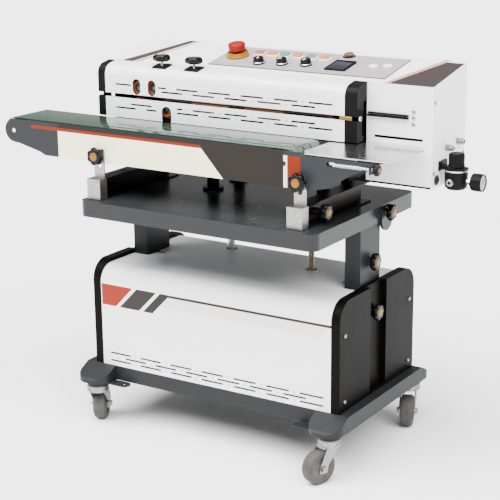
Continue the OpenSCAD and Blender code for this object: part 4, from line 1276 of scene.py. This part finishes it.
class BS_OT_belt(bpy.types.Operator):
    """Build the belt loop with rounded edges"""
    bl_idname = "band_sealer.belt"
    bl_label = "Belt"

    def execute(self, context):
        settings = context.scene.bs_belt
        low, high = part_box("conveyor_belt")
        r = (high.z - low.z) / 2
        mid = (high.z + low.z) / 2
        t_belt = 0.002
        xa, xb = low.x + r, high.x - r
        e = settings.edge_round
        # cross-section of the belt: (place across, distance from the roller centre line)
        c = np.linspace(0, math.pi / 2, 4)
        section = []
        for k, (sy, sr) in enumerate(((1, 1), (-1, 1), (-1, -1), (1, -1))):
            a = c + k * math.pi / 2
            cy = (high.y if sy > 0 else low.y) - sy * e
            cr = (r if sr > 0 else r - t_belt) - sr * e
            section.append(np.stack([cy + e * np.cos(a), cr + e * np.sin(a)], axis=1))
        section = np.concatenate(section)
        # centre line: along the top, round the right end, back below, round the left end
        top = np.linspace(xa, xb, 40)
        arc_r = np.linspace(math.pi / 2, -math.pi / 2, 26)[1:-1]
        arc_l = np.linspace(-math.pi / 2, -3 * math.pi / 2, 26)[1:-1]
        cx = np.concatenate([top, np.full(len(arc_r), xb), top[::-1], np.full(len(arc_l), xa)])
        angle = np.concatenate([np.full(40, math.pi / 2), arc_r, np.full(40, -math.pi / 2), arc_l])
        y = section[:, 0][None, :] * np.ones(len(cx))[:, None]
        d = section[:, 1][None, :]
        x = cx[:, None] + d * np.cos(angle)[:, None]
        z = mid + d * np.sin(angle)[:, None]
        obj = grid_piece("belt_loop", np.stack([x, y, z], axis=-1), material("belt_green"), wrap_u=True)
        put(obj, "conveyor", "conveyor_belt", slot="belt_green")
        return {"FINISHED"}


class BS_OT_lift_parts(bpy.types.Operator):
    """Build the threaded lift rod with its nuts, the conduit and the clear hose"""
    bl_idname = "band_sealer.lift_parts"
    bl_label = "Lift rod and hose"

    def execute(self, context):
        low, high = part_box("lift_screw")
        x, y = (low.x + high.x) / 2, (low.y + high.y) / 2
        pitch, r = 0.003, 0.007
        z = np.linspace(low.z, high.z, int((high.z - low.z) / 0.0005))
        t = np.linspace(0, 2 * math.pi, 24, endpoint=False)
        zz, tt = np.meshgrid(z, t, indexing="ij")
        # radius falls towards the thread's root as the phase of height and angle passes half a turn
        rr = r - 0.0011 * (0.5 - 0.5 * np.cos(2 * math.pi * zz / pitch - tt)) ** 1.2
        points = np.stack([x + rr * np.cos(tt), y + rr * np.sin(tt), zz], axis=-1)
        rod = grid_piece("lift_rod_thread", points, material("thread_yellow"))
        put(rod, "lift", "lift_screw", slot="lift_rod")
        for name, z0, z1 in (("lift_nut_upper", high.z - 0.011, high.z - 0.0002),
            ("lift_nut_tray", 0.503, 0.5165)):
            profile = [(0.0072, z0), (0.0118, z0), (0.0128, z0 + 0.001), (0.0128, z1 - 0.001), (0.0118, z1),
                (0.0072, z1)]
            nut = grid_piece(name, turned(profile, (x, y, 0), Z_AXIS, 6), material("zinc"), wrap_u=True,
                smooth=False)
            put(nut, "lift", slot="zinc")

        low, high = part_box("air_hose")
        top = high.z
        cx, cy = high.x - 0.007, (low.y + high.y) / 2
        z = np.linspace(low.z, top, 400)
        ribs = 0.0070 - 0.0007 * (0.5 - 0.5 * np.cos(2 * math.pi * z / 0.004))
        path = np.stack([np.full(len(z), cx), np.full(len(z), cy), z], axis=1)
        conduit = grid_piece("conduit_ribbed", tube(path, ribs, 24), material("white_plastic"))
        put(conduit, "lift", "air_hose", slot="hose_plastic")
        # hose: drops from the tray, swings across in a smooth step and goes down beside the conduit
        s = np.linspace(0, 1, 90)
        blend = np.clip((s - 0.12) / 0.55, 0, 1)
        blend = blend * blend * (3 - 2 * blend)
        hx = (low.x + 0.003) + (cx - 0.0106 - low.x - 0.003) * blend
        hz = top - (top - low.z) * (0.55 * s + 0.45 * s ** 2)
        hose_path = np.stack([hx, np.full(90, cy), hz], axis=1)
        hose = grid_piece("clear_hose_run", tube(hose_path, 0.003, 16), material("clear_hose"))
        put(hose, "lift", slot="hose_plastic")
        return {"FINISHED"}


class BS_OT_panel_parts(bpy.types.Operator):
    """Build the stop button, dials, switches, display, round button and pressure knobs"""
    bl_idname = "band_sealer.panel_parts"
    bl_label = "Panel parts"

    def execute(self, context):
        normal = SLANT_NORMAL
        # stop button: mushroom with a pressed dish, and a stepped yellow collar
        axis, _ = axis_of("estop_button")
        low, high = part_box("estop_button")
        centre = np.array([(low.x + high.x) / 2, 0, 0])
        y0 = -0.025 + 0.081
        base = slant_point(centre[0], y0)
        _, top, _ = span_on("estop_button", axis, base)
        mushroom = rounded_profile([(0.0004, top - 0.0436), (0.0079, top - 0.0436), (0.0079, top - 0.0175),
            (0.0185, top - 0.0175),
                                    (0.0196, top - 0.0150), (0.0199, top - 0.0045), (0.0180, top - 0.0008),
                                    (0.0100, top - 0.0002),
                                    (0.0004, top - 0.0012)], 0.0022, 5)
        button = grid_piece("stop_mushroom", turned(mushroom, base, axis, 64), material("stop_red"))
        put(button, "estop_button", "estop_button", slot="estop_red")
        collar = rounded_profile([(0.0082, 0.0022), (0.0258, 0.0022), (0.0258, 0.0065), (0.0242, 0.0075),
            (0.0234, 0.0132),
                                  (0.0212, 0.0134), (0.0208, 0.0092), (0.0082, 0.0090)], 0.0008, 4)
        ring = grid_piece("stop_collar", turned(collar, base, normal, 64), material("stop_yellow"),
            wrap_u=True)
        put(ring, "lift", "panel_instruments", slot="instruments")

        # dials: fluted skirt, smooth cap and a silver pointer across the top
        for index in (1, 2, 3):
            node = f"dial_knob_{index}"
            axis, point = axis_of(node)
            low_h, high_h, radius = span_on(node, axis, point)
            foot = 0.0023
            profile = rounded_profile([(0.0003, foot), (radius * 0.98, foot), (radius * 0.97, foot + 0.003),
                (radius * 0.86, foot + 0.0045),
                                       (radius * 0.82, high_h - 0.0014), (radius * 0.74, high_h - 0.0003),
                                       (0.0003, high_h - 0.0003)], 0.0008, 3)
            dial = grid_piece(node + "_body", turned(profile, point, axis, 96, 18, 0.06, 0.5),
                material("grip_black"))
            put(dial, node, node, slot="dial_black")
            stem = grid_piece(node + "_stem", turned([(0.0003, low_h), (0.0029, low_h),
                (0.0029, foot + 0.001), (0.0003, foot + 0.001)], point, axis, 20),
                              material("bright_steel"))
            put(stem, node, slot="dial_black")
            u, v = X_AXIS, SLANT_UP
            turn = math.radians((200, 150, 165)[index - 1])
            du = math.cos(turn) * u + math.sin(turn) * v
            dv = -math.sin(turn) * u + math.cos(turn) * v
            pointer = slab(round_corners(0.0035, 0.010, 0.001, 4), [0, 0.0005, 0.0007], [0, 0, 0.0003],
                           point + axis * (high_h - 0.0006) + dv * 0.0045, du, dv, axis)
            mark = grid_piece(node + "_pointer", pointer, material("white_plastic"))
            put(mark, node, slot="dial_black")
            skirt = grid_piece(node + "_ring", turned(rounded_profile([(radius * 0.88, foot + 0.0042),
                (radius * 0.97, foot + 0.0032),
                               (radius * 0.97, foot + 0.0044), (radius * 0.88, foot + 0.0052)], 0.0003, 2),
                               point, axis, 60),
                               material("bright_steel"), wrap_u=True)
            put(skirt, node, slot="dial_black")

        # six square switches with raised caps behind the dials
        finishes = ("switch_pink", "switch_orange", "switch_teal", "switch_orange", "switch_teal",
            "switch_orange")
        for index, (x, finish) in enumerate(zip((-0.024, 0.010, 0.042, 0.076, 0.110, 0.145), finishes)):
            foot = slant_point(x, 0.078, 0.002)
            bezel = slab(round_corners(0.025, 0.021, 0.003), [0.0, 0.0022, 0.003, 0.003],
                [0, 0, 0.0008, 0.002], foot, X_AXIS, SLANT_UP, normal)
            put(grid_piece(f"switch_{index + 1}_bezel", bezel, material("white_plastic")), "lift",
                slot="instruments")
            cap = slab(round_corners(0.0205, 0.0165, 0.0025), [0.002, 0.0062, 0.0078, 0.0084],
                [0, 0.0004, 0.0014, 0.0035], foot, X_AXIS, SLANT_UP, normal)
            put(grid_piece(f"switch_{index + 1}_cap", cap, material(finish)), "lift", slot="instruments")

        # display: grey bezel, dark glass sunk in it, and two pale sockets to its right
        foot = slant_point(0.202, 0.044, 0.002)
        bezel = slab(round_corners(0.051, 0.060, 0.003), [0.0, 0.003, 0.0042, 0.0042, 0.003],
            [0, 0, 0.0012, 0.003, 0.0034], foot, X_AXIS, SLANT_UP, normal)
        put(grid_piece("display_bezel", bezel, material("cap_black")), "lift", slot="instruments")
        glass = slab(round_corners(0.044, 0.053, 0.0015), [0.0005, 0.0034, 0.0036], [0, 0, 0.0004], foot,
            X_AXIS, SLANT_UP, normal)
        put(grid_piece("display_glass", glass, material("screen_dark")), "lift", slot="instruments")
        for index, (x, y) in enumerate(((0.275, 0.058), (0.305, 0.066))):
            foot = slant_point(x, y, 0.002)
            lid = rounded_profile([(0.0003, 0.0), (0.0105, 0.0), (0.0105, 0.0022), (0.0085, 0.003),
                (0.0075, 0.0018), (0.0003, 0.0016)], 0.0006, 3)
            put(grid_piece(f"socket_{index + 1}", turned(lid, foot, normal, 40), material("white_plastic")),
                "lift", slot="instruments")

        # round button with a low collar
        axis, _ = axis_of("round_button")
        low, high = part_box("round_button")
        foot = slant_point((low.x + high.x) / 2, 0.108)
        low_h, high_h, radius = span_on("round_button", axis, foot)
        profile = rounded_profile([(0.0003, low_h), (0.0058, low_h), (0.0058, high_h - 0.005),
            (radius * 0.99, high_h - 0.005),
                                   (radius * 0.98, high_h - 0.001), (radius * 0.8, high_h - 0.0002),
                                   (0.0003, high_h - 0.0008)], 0.0008, 3)
        put(grid_piece("round_button_cap", turned(profile, foot, axis, 48), material("button_brown")),
            "round_button", "round_button", slot="button_brown")
        collar = rounded_profile([(0.0116, 0.0021), (0.0142, 0.0021), (0.0142, 0.0032), (0.0132, 0.0042),
            (0.0116, 0.0042)], 0.0004, 3)
        put(grid_piece("round_button_collar", turned(collar, foot, normal, 48), material("cap_black"),
            wrap_u=True), "lift", slot="instruments")

        # pressure knobs: plate, ridged bright stem, lobed wheel and coloured cap
        for side, tint in (("left", "amber_cap"), ("right", "brown_cap")):
            node = "pressure_knob_" + side
            axis, point = axis_of(node)
            low_h, high_h, radius = span_on(node, axis, point)
            radius *= 1.12
            base = high_h - 0.0155
            profile = rounded_profile([(0.0004, base), (radius * 0.7, base), (radius * 0.99, base + 0.0035),
                (radius * 0.99, base + 0.0105),
                                       (radius * 0.8, high_h - 0.0008), (radius * 0.45, high_h - 0.0006),
                                       (0.0004, high_h - 0.0006)], 0.0016, 4)
            wheel = grid_piece(node + "_wheel", turned(profile, point, axis, 84, 7, 0.15),
                material("grip_black"))
            put(wheel, node, node, slot="knob_black")
            s = np.linspace(0, 1, 8)
            dome = np.stack([np.maximum(radius * 0.5 * np.cos(s * math.pi / 2), 0.0002),
                high_h - 0.0012 + 0.0011 * np.sin(s * math.pi / 2)], axis=1)
            put(grid_piece(node + "_cap", turned(dome, point, axis, 40), material(tint)), node,
                slot="knob_black")
            s = np.linspace(low_h, base + 0.001, 90)
            ridge = 0.0003 * (0.5 - 0.5 * np.cos(2 * math.pi * s / 0.0014))
            stem = np.concatenate([[[0.0003, low_h]], np.stack([0.00296 - ridge, s], axis=1),
                [[0.0003, s[-1]]]])
            put(grid_piece(node + "_stem", turned(stem, point, axis, 20), material("bright_steel")), node,
                slot="zinc")
            foot = slant_point(point[0], point[1])
            plate = slab(round_corners(0.038, 0.028, 0.0015, 4), [0.0, 0.0022, 0.003, 0.003],
                [0, 0, 0.0007, 0.0016], foot, X_AXIS, SLANT_UP, normal)
            put(grid_piece(node + "_plate", plate, material("cap_black")), "lift", slot="cap_black")
        return {"FINISHED"}


class BS_OT_head_parts(bpy.types.Operator):
    """Build the regulator, gauge, ports, wheels, cap screws and grommet of the head"""
    bl_idname = "band_sealer.head_parts"
    bl_label = "Head parts"

    def execute(self, context):
        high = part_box("head_fittings")[1]
        axis, point = axis_of("regulator_knob")
        cx, cy = point[0], point[1]
        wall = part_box("head_housing")[1].x
        body = rounded_profile([(0.0052, 0.6185), (0.019, 0.6183), (0.0215, 0.6215), (0.0235, 0.6225),
            (0.0245, 0.632), (0.0248, 0.655),
                                (0.0235, 0.6575), (0.012, 0.6595), (0.0052, 0.6597)], 0.0012, 4)
        put(grid_piece("regulator_body", turned(body, (cx, cy, 0), Z_AXIS, 72, 24, 0.02, 0.7),
            material("cap_black"), wrap_u=True),
            "lift", "head_fittings", slot="regulator_grey")
        ring = rounded_profile([(0.0200, 0.6565), (0.0249, 0.6565), (0.0249, 0.6592), (0.0200, 0.6598)],
            0.0006, 3)
        put(grid_piece("regulator_ring", turned(ring, (cx, cy, 0), Z_AXIS, 64), material("bright_steel"),
            wrap_u=True), "lift", slot="zinc")
        arm = slab([(wall + 0.0001, cy - 0.019), (cx + 0.018, cy - 0.019), (cx + 0.0235, cy - 0.012),
            (cx + 0.0235, cy + 0.012),
                    (cx + 0.018, cy + 0.019), (wall + 0.0001, cy + 0.019)],
                    [0.6602, 0.6606, 0.6624, 0.6629], [0.0004, 0, 0, 0.0004],
                   (0, 0, 0), X_AXIS, Y_AXIS, Z_AXIS)
        put(grid_piece("regulator_arm", arm, material("cap_black")), "lift", slot="regulator_grey")
        back = slab(round_corners(0.040, 0.020, 0.004), [0.0001, 0.0025, 0.003], [0, 0, 0.0005],
            (wall, cy, 0.6660), Y_AXIS, Z_AXIS, X_AXIS)
        put(grid_piece("regulator_wall_plate", back, material("cap_black")), "lift", slot="regulator_grey")
        web = slab([(wall + 0.003, 0.663), (cx - 0.012, 0.663), (wall + 0.003, 0.675)], [-0.002, 0.002],
            [0, 0],
                   (0, cy - 0.014, 0), X_AXIS, Z_AXIS, -Y_AXIS)
        put(grid_piece("regulator_arm_web", web, material("cap_black"), smooth=False), "lift",
            slot="regulator_grey")
        low_h, top, radius = span_on("regulator_knob", axis, point)
        knob = rounded_profile([(0.0004, top - 0.0305), (radius * 0.98, top - 0.0305),
            (radius * 0.98, top - 0.026), (radius * 0.93, top - 0.025),
                                (radius * 0.95, top - 0.004), (radius * 0.82, top - 0.0003),
                                (0.0004, top - 0.0003)], 0.0016, 4)
        put(grid_piece("regulator_knob_body", turned(knob, point, axis, 120, 20, 0.07, 0.6),
            material("cap_black")), "regulator_knob",
            "regulator_knob", slot="knob_black")
        stem = [(0.0003, low_h), (0.0049, low_h), (0.0049, top - 0.029), (0.0003, top - 0.029)]
        put(grid_piece("regulator_knob_stem", turned(stem, point, axis, 24), material("bright_steel")),
            "regulator_knob", slot="zinc")

        # gauge with a black rim, pale face and needle; its stem has a hexagon
        gz = 0.637
        gauge_x = high.x
        case = rounded_profile([(0.0003, 0.0), (0.0165, 0.0), (0.0188, 0.002), (0.0189, 0.022),
            (0.0182, 0.0249), (0.0172, 0.0249),
                                (0.0166, 0.0225), (0.0003, 0.0225)], 0.0008, 4)
        put(grid_piece("gauge_case", turned(case, (gauge_x - 0.025, cy, gz), X_AXIS, 72, 16, 0.015, 0.8),
            material("cap_black")), "lift", slot="regulator_grey")
        face = rounded_profile([(0.0003, 0.0222), (0.0164, 0.0222), (0.0164, 0.0232), (0.0003, 0.0232)],
            0.0003, 2)
        put(grid_piece("gauge_face", turned(face, (gauge_x - 0.025, cy, gz), X_AXIS, 60),
            material("dial_face")), "lift", slot="regulator_grey")
        needle = slab([(-0.0006, -0.003), (0.0006, -0.003), (0.0003, 0.012), (-0.0003, 0.012)],
            [0.0, 0.0005], [0, 0],
                      (gauge_x - 0.0015, cy, gz), unit([0, 0.8, -0.6]), unit([0, 0.6, 0.8]), X_AXIS)
        put(grid_piece("gauge_needle", needle, material("grip_black"), smooth=False), "lift",
            slot="regulator_grey")
        neck = [(0.0003, 0.0), (0.0058, 0.0), (0.0058, 0.006), (0.0085, 0.006), (0.0085, 0.0125),
            (0.0003, 0.0125)]
        put(grid_piece("gauge_neck", turned(neck, (gauge_x - 0.0375, cy, gz), X_AXIS, 6),
            material("bright_steel"), smooth=False), "lift", slot="zinc")
        inlet = rounded_profile([(0.0031, -0.002), (0.0031, 0.0005), (0.0031, 0.0118), (0.0060, 0.0118),
            (0.0079, 0.0100), (0.0079, -0.004), (0.0031, -0.004)], 0.0008, 3)
        put(grid_piece("regulator_inlet", turned(inlet, (cx, cy - 0.025, gz), -Y_AXIS, 40),
            material("zinc"), wrap_u=True), "lift", slot="zinc")

        # push-in ports on the right wall: zinc collar and nut in one piece, open bore
        for name, y, z in (("port_front", 0.044, 0.699), ("port_rear", 0.097, 0.704)):
            shell = rounded_profile([(0.0031, 0.0005), (0.0068, 0.0002), (0.0069, 0.011), (0.0058, 0.0125),
                (0.0058, 0.0165), (0.0046, 0.0179),
                                     (0.0031, 0.0179)], 0.0006, 3)
            put(grid_piece(name, turned(shell, (wall, y, z), X_AXIS, 40), material("zinc"), wrap_u=True),
                "lift", slot="zinc")
        # raised screw heads with a sunk centre
        screws = [("wall_screw_top", (wall, -0.018, 0.802), X_AXIS),
            ("wall_screw_low", (wall, -0.017, 0.654), X_AXIS),
                  ("wall_screw_back", (wall, 0.130, 0.674), X_AXIS)]
        screws += [(f"face_screw_{k}", (0.413, -0.025, z), -Y_AXIS) for k,
            z in enumerate((0.755, 0.769, 0.781))]
        for name, place, direction in screws:
            profile = rounded_profile([(0.0003, 0.0001), (0.0044, 0.0001), (0.0043, 0.0012),
                (0.0030, 0.0023), (0.0014, 0.0024),
                                       (0.0010, 0.0014), (0.0003, 0.0014)], 0.0004, 3)
            put(grid_piece(name, turned(profile, place, direction, 24), material("zinc")), "lift",
                slot="zinc")
        grommet = rounded_profile([(0.0060, 0.0), (0.0110, 0.0), (0.0110, 0.0015), (0.0090, 0.0032),
            (0.0060, 0.0030)], 0.0008, 3)
        put(grid_piece("wall_grommet", turned(grommet, (wall, -0.003, 0.638), X_AXIS, 40),
            material("grommet_black"), wrap_u=True), "lift", slot="cap_black")
        plug = [(0.0003, 0.0004), (0.0065, 0.0004), (0.0065, 0.001), (0.0003, 0.001)]
        put(grid_piece("wall_grommet_plug", turned(plug, (wall, -0.003, 0.638), X_AXIS, 30),
            material("grommet_black")), "lift", slot="cap_black")

        # wheels behind the windows: orange tyre on a steel core, toothed disc behind the right ones
        for node in ("band_wheel_upper_left", "band_wheel_lower_left", "band_wheel_upper_right",
            "band_wheel_lower_right",
                     "press_wheel_upper", "press_wheel_lower"):
            axis, point = axis_of(node)
            low_h, high_h, radius = span_on(node, axis, point)
            r = 0.018 if node.startswith("press") else 0.020
            front, back = low_h, low_h + 0.024
            tyre = rounded_profile([(r * 0.62, front + 0.001), (r * 0.70, front), (r * 0.96, front),
                (r, front + 0.002), (r, back - 0.002),
                                    (r * 0.96, back), (r * 0.62, back)], 0.0008, 3)
            put(grid_piece(node + "_tyre", turned(tyre, point, axis, 64), material("silicone_orange"),
                wrap_u=True), node, node, slot="silicone_orange")
            core = rounded_profile([(0.0003, front + 0.0005), (0.005, front + 0.0005),
                (0.0055, front + 0.004), (r * 0.60, front + 0.005),
                                    (r * 0.63, front + 0.0015), (r * 0.63, back - 0.001),
                                    (0.0003, back - 0.001)], 0.0006, 3)
            put(grid_piece(node + "_core", turned(core, point, axis, 60), material("guide_steel")), node,
                slot="silicone_orange")
            shaft = [(0.0003, back - 0.002), (0.005, back - 0.002), (0.005, high_h), (0.0003, high_h)]
            put(grid_piece(node + "_shaft", turned(shaft, point, axis, 24), material("bright_steel")), node,
                slot="silicone_orange")
            if node.endswith("right"):
                gear = [(0.0048, 0.030), (0.0214, 0.030), (0.0214, 0.039), (0.0048, 0.039)]
                put(grid_piece(node + "_gear", turned(gear, point, axis, 144, 24, 0.09, 0.8),
                    material("guide_steel"), wrap_u=True), node, slot="silicone_orange")
        # brass nose and small bright roller at the end of the film slot
        nose = slab(round_corners(0.030, 0.008, 0.002), [0.0, 0.0035, 0.0045], [0, 0, 0.001],
            (0.277, -0.0655, 0.7625), X_AXIS, Z_AXIS, -Y_AXIS)
        put(grid_piece("film_nose", nose, material("brass")), "lift", slot="heater_copper")
        eye = rounded_profile([(0.0030, 0.0), (0.0052, 0.0), (0.0056, 0.0012), (0.0052, 0.0035),
            (0.0030, 0.0035)], 0.0006, 3)
        put(grid_piece("film_eye", turned(eye, (0.3045, -0.058, 0.7625), X_AXIS, 36),
            material("bright_steel"), wrap_u=True), "lift", slot="zinc")
        return {"FINISHED"}


class BS_OT_panel_screws(bpy.types.Operator):
    """Build the domed screws of the side panels"""
    bl_idname = "band_sealer.panel_screws"
    bl_label = "Panel screws"

    def execute(self, context):
        first = True
        low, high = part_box("panel_screws")
        face = high.x - 0.0025
        for sx in (1, -1):
            for y in (low.y + 0.005, high.y - 0.005):
                for z in (low.z + 0.005, high.z - 0.005):
                    profile = rounded_profile([(0.0003, 0.0001), (0.0049, 0.0001), (0.0048, 0.0012),
                        (0.0034, 0.0023), (0.0016, 0.0024),
                                               (0.0012, 0.0013), (0.0003, 0.0013)], 0.0004, 3)
                    side = "r" if sx > 0 else "l"
                    end = "f" if y < 0 else "b"
                    name = f"panel_screw_{side}{end}{'t' if z > 0.25 else 'b'}"
                    obj = grid_piece(name, turned(profile, (sx * face, y, z), sx * X_AXIS, 24),
                        material("zinc"))
                    put(obj, "cabinet", slot="zinc")
                    if first:
                        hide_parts("panel_screws")
                        first = False
        return {"FINISHED"}


class BS_OT_stage(bpy.types.Operator):
    """Set the floor, the lights, the surroundings and the camera"""
    bl_idname = "band_sealer.stage"
    bl_label = "Stage"

    def execute(self, context):
        settings = context.scene.bs_stage
        half = settings.floor_size / 2
        mesh = bpy.data.meshes.new("floor")
        mesh.from_pydata([(-half, -half, 0), (half, -half, 0), (half, half, 0), (-half, half, 0)], [],
            [(0, 1, 2, 3)])
        floor = bpy.data.objects.new("floor", mesh)
        context.scene.collection.objects.link(floor)
        mat = bpy.data.materials.new("floor_paper")
        mat.use_nodes = True
        bsdf = mat.node_tree.nodes["Principled BSDF"]
        bsdf.label = "Paper"
        bsdf.inputs["Base Color"].default_value = (*settings.floor_tone, 1.0)
        bsdf.inputs["Roughness"].default_value = 0.9
        bsdf.inputs["Specular IOR Level"].default_value = 0.1
        mesh.materials.append(mat)

        world = bpy.data.worlds.new("studio")
        world.use_nodes = True
        world.node_tree.nodes["Background"].inputs["Color"].default_value = (1.0, 1.0, 1.0, 1.0)
        world.node_tree.nodes["Background"].inputs["Strength"].default_value = settings.sky_strength
        context.scene.world = world

        for name, power, direction in (("key", settings.key_power, (-0.20, -0.44, 0.87)),
                                       ("fill", settings.fill_power, (0.55, -0.35, 0.75))):
            data = bpy.data.lights.new(name, "SUN")
            data.energy = power
            data.angle = math.radians(settings.softness)
            lamp = bpy.data.objects.new(name, data)
            context.scene.collection.objects.link(lamp)
            lamp.location = 4.0 * unit(direction)
            lamp.rotation_mode = "QUATERNION"
            lamp.rotation_quaternion = Vector(-unit(direction)).to_track_quat("-Z", "Y")

        camera_data = bpy.data.cameras.new("camera")
        camera_data.sensor_width = 36.0
        camera_data.lens = 102.1
        camera_data.shift_x = -0.0426
        camera_data.shift_y = 0.0229
        camera_data.clip_end = 100.0
        camera = bpy.data.objects.new("camera", camera_data)
        context.scene.collection.objects.link(camera)
        turn = (Matrix.Rotation(math.radians(CAMERA_HEADING), 4,
            "Z") @ Matrix.Rotation(math.radians(CAMERA_PITCH), 4, "X")
                @ Matrix.Rotation(math.radians(CAMERA_ROLL), 4, "Z"))
        camera.matrix_world = Matrix.Translation(CAMERA_PLACE) @ turn
        context.scene.camera = camera
        return {"FINISHED"}


OPERATORS = (BS_OT_stage, BS_OT_finishes, BS_OT_star_knobs, BS_OT_casters, BS_OT_belt, BS_OT_lift_parts,
             BS_OT_panel_parts, BS_OT_head_parts, BS_OT_panel_screws)


class BS_PT_sidebar(bpy.types.Panel):
    """Lists the steps that build the band sealer"""
    bl_idname = "BS_PT_sidebar"
    bl_label = "Band Sealer"
    bl_space_type = "VIEW_3D"
    bl_region_type = "UI"
    bl_category = "Band Sealer"

    def draw(self, context):
        for operator in OPERATORS:
            self.layout.operator(operator.bl_idname)


SETTINGS = {"bs_stage": BS_StageSettings, "bs_paint": BS_PaintSettings, "bs_knob": BS_KnobSettings,
            "bs_caster": BS_CasterSettings, "bs_belt": BS_BeltSettings, "bs_head": BS_HeadSettings}


def register():
    for group in SETTINGS.values():
        bpy.utils.register_class(group)
    for name, group in SETTINGS.items():
        setattr(bpy.types.Scene, name, bpy.props.PointerProperty(type=group))
    for operator in OPERATORS:
        bpy.utils.register_class(operator)
    bpy.utils.register_class(BS_PT_sidebar)


def unregister():
    bpy.utils.unregister_class(BS_PT_sidebar)
    for operator in reversed(OPERATORS):
        bpy.utils.unregister_class(operator)
    for name in SETTINGS:
        delattr(bpy.types.Scene, name)
    for group in SETTINGS.values():
        bpy.utils.unregister_class(group)


def main():
    register()
    for operator in OPERATORS:
        group, step = operator.bl_idname.split(".")
        getattr(getattr(bpy.ops, group), step)()


if __name__ == "__main__":
    main()
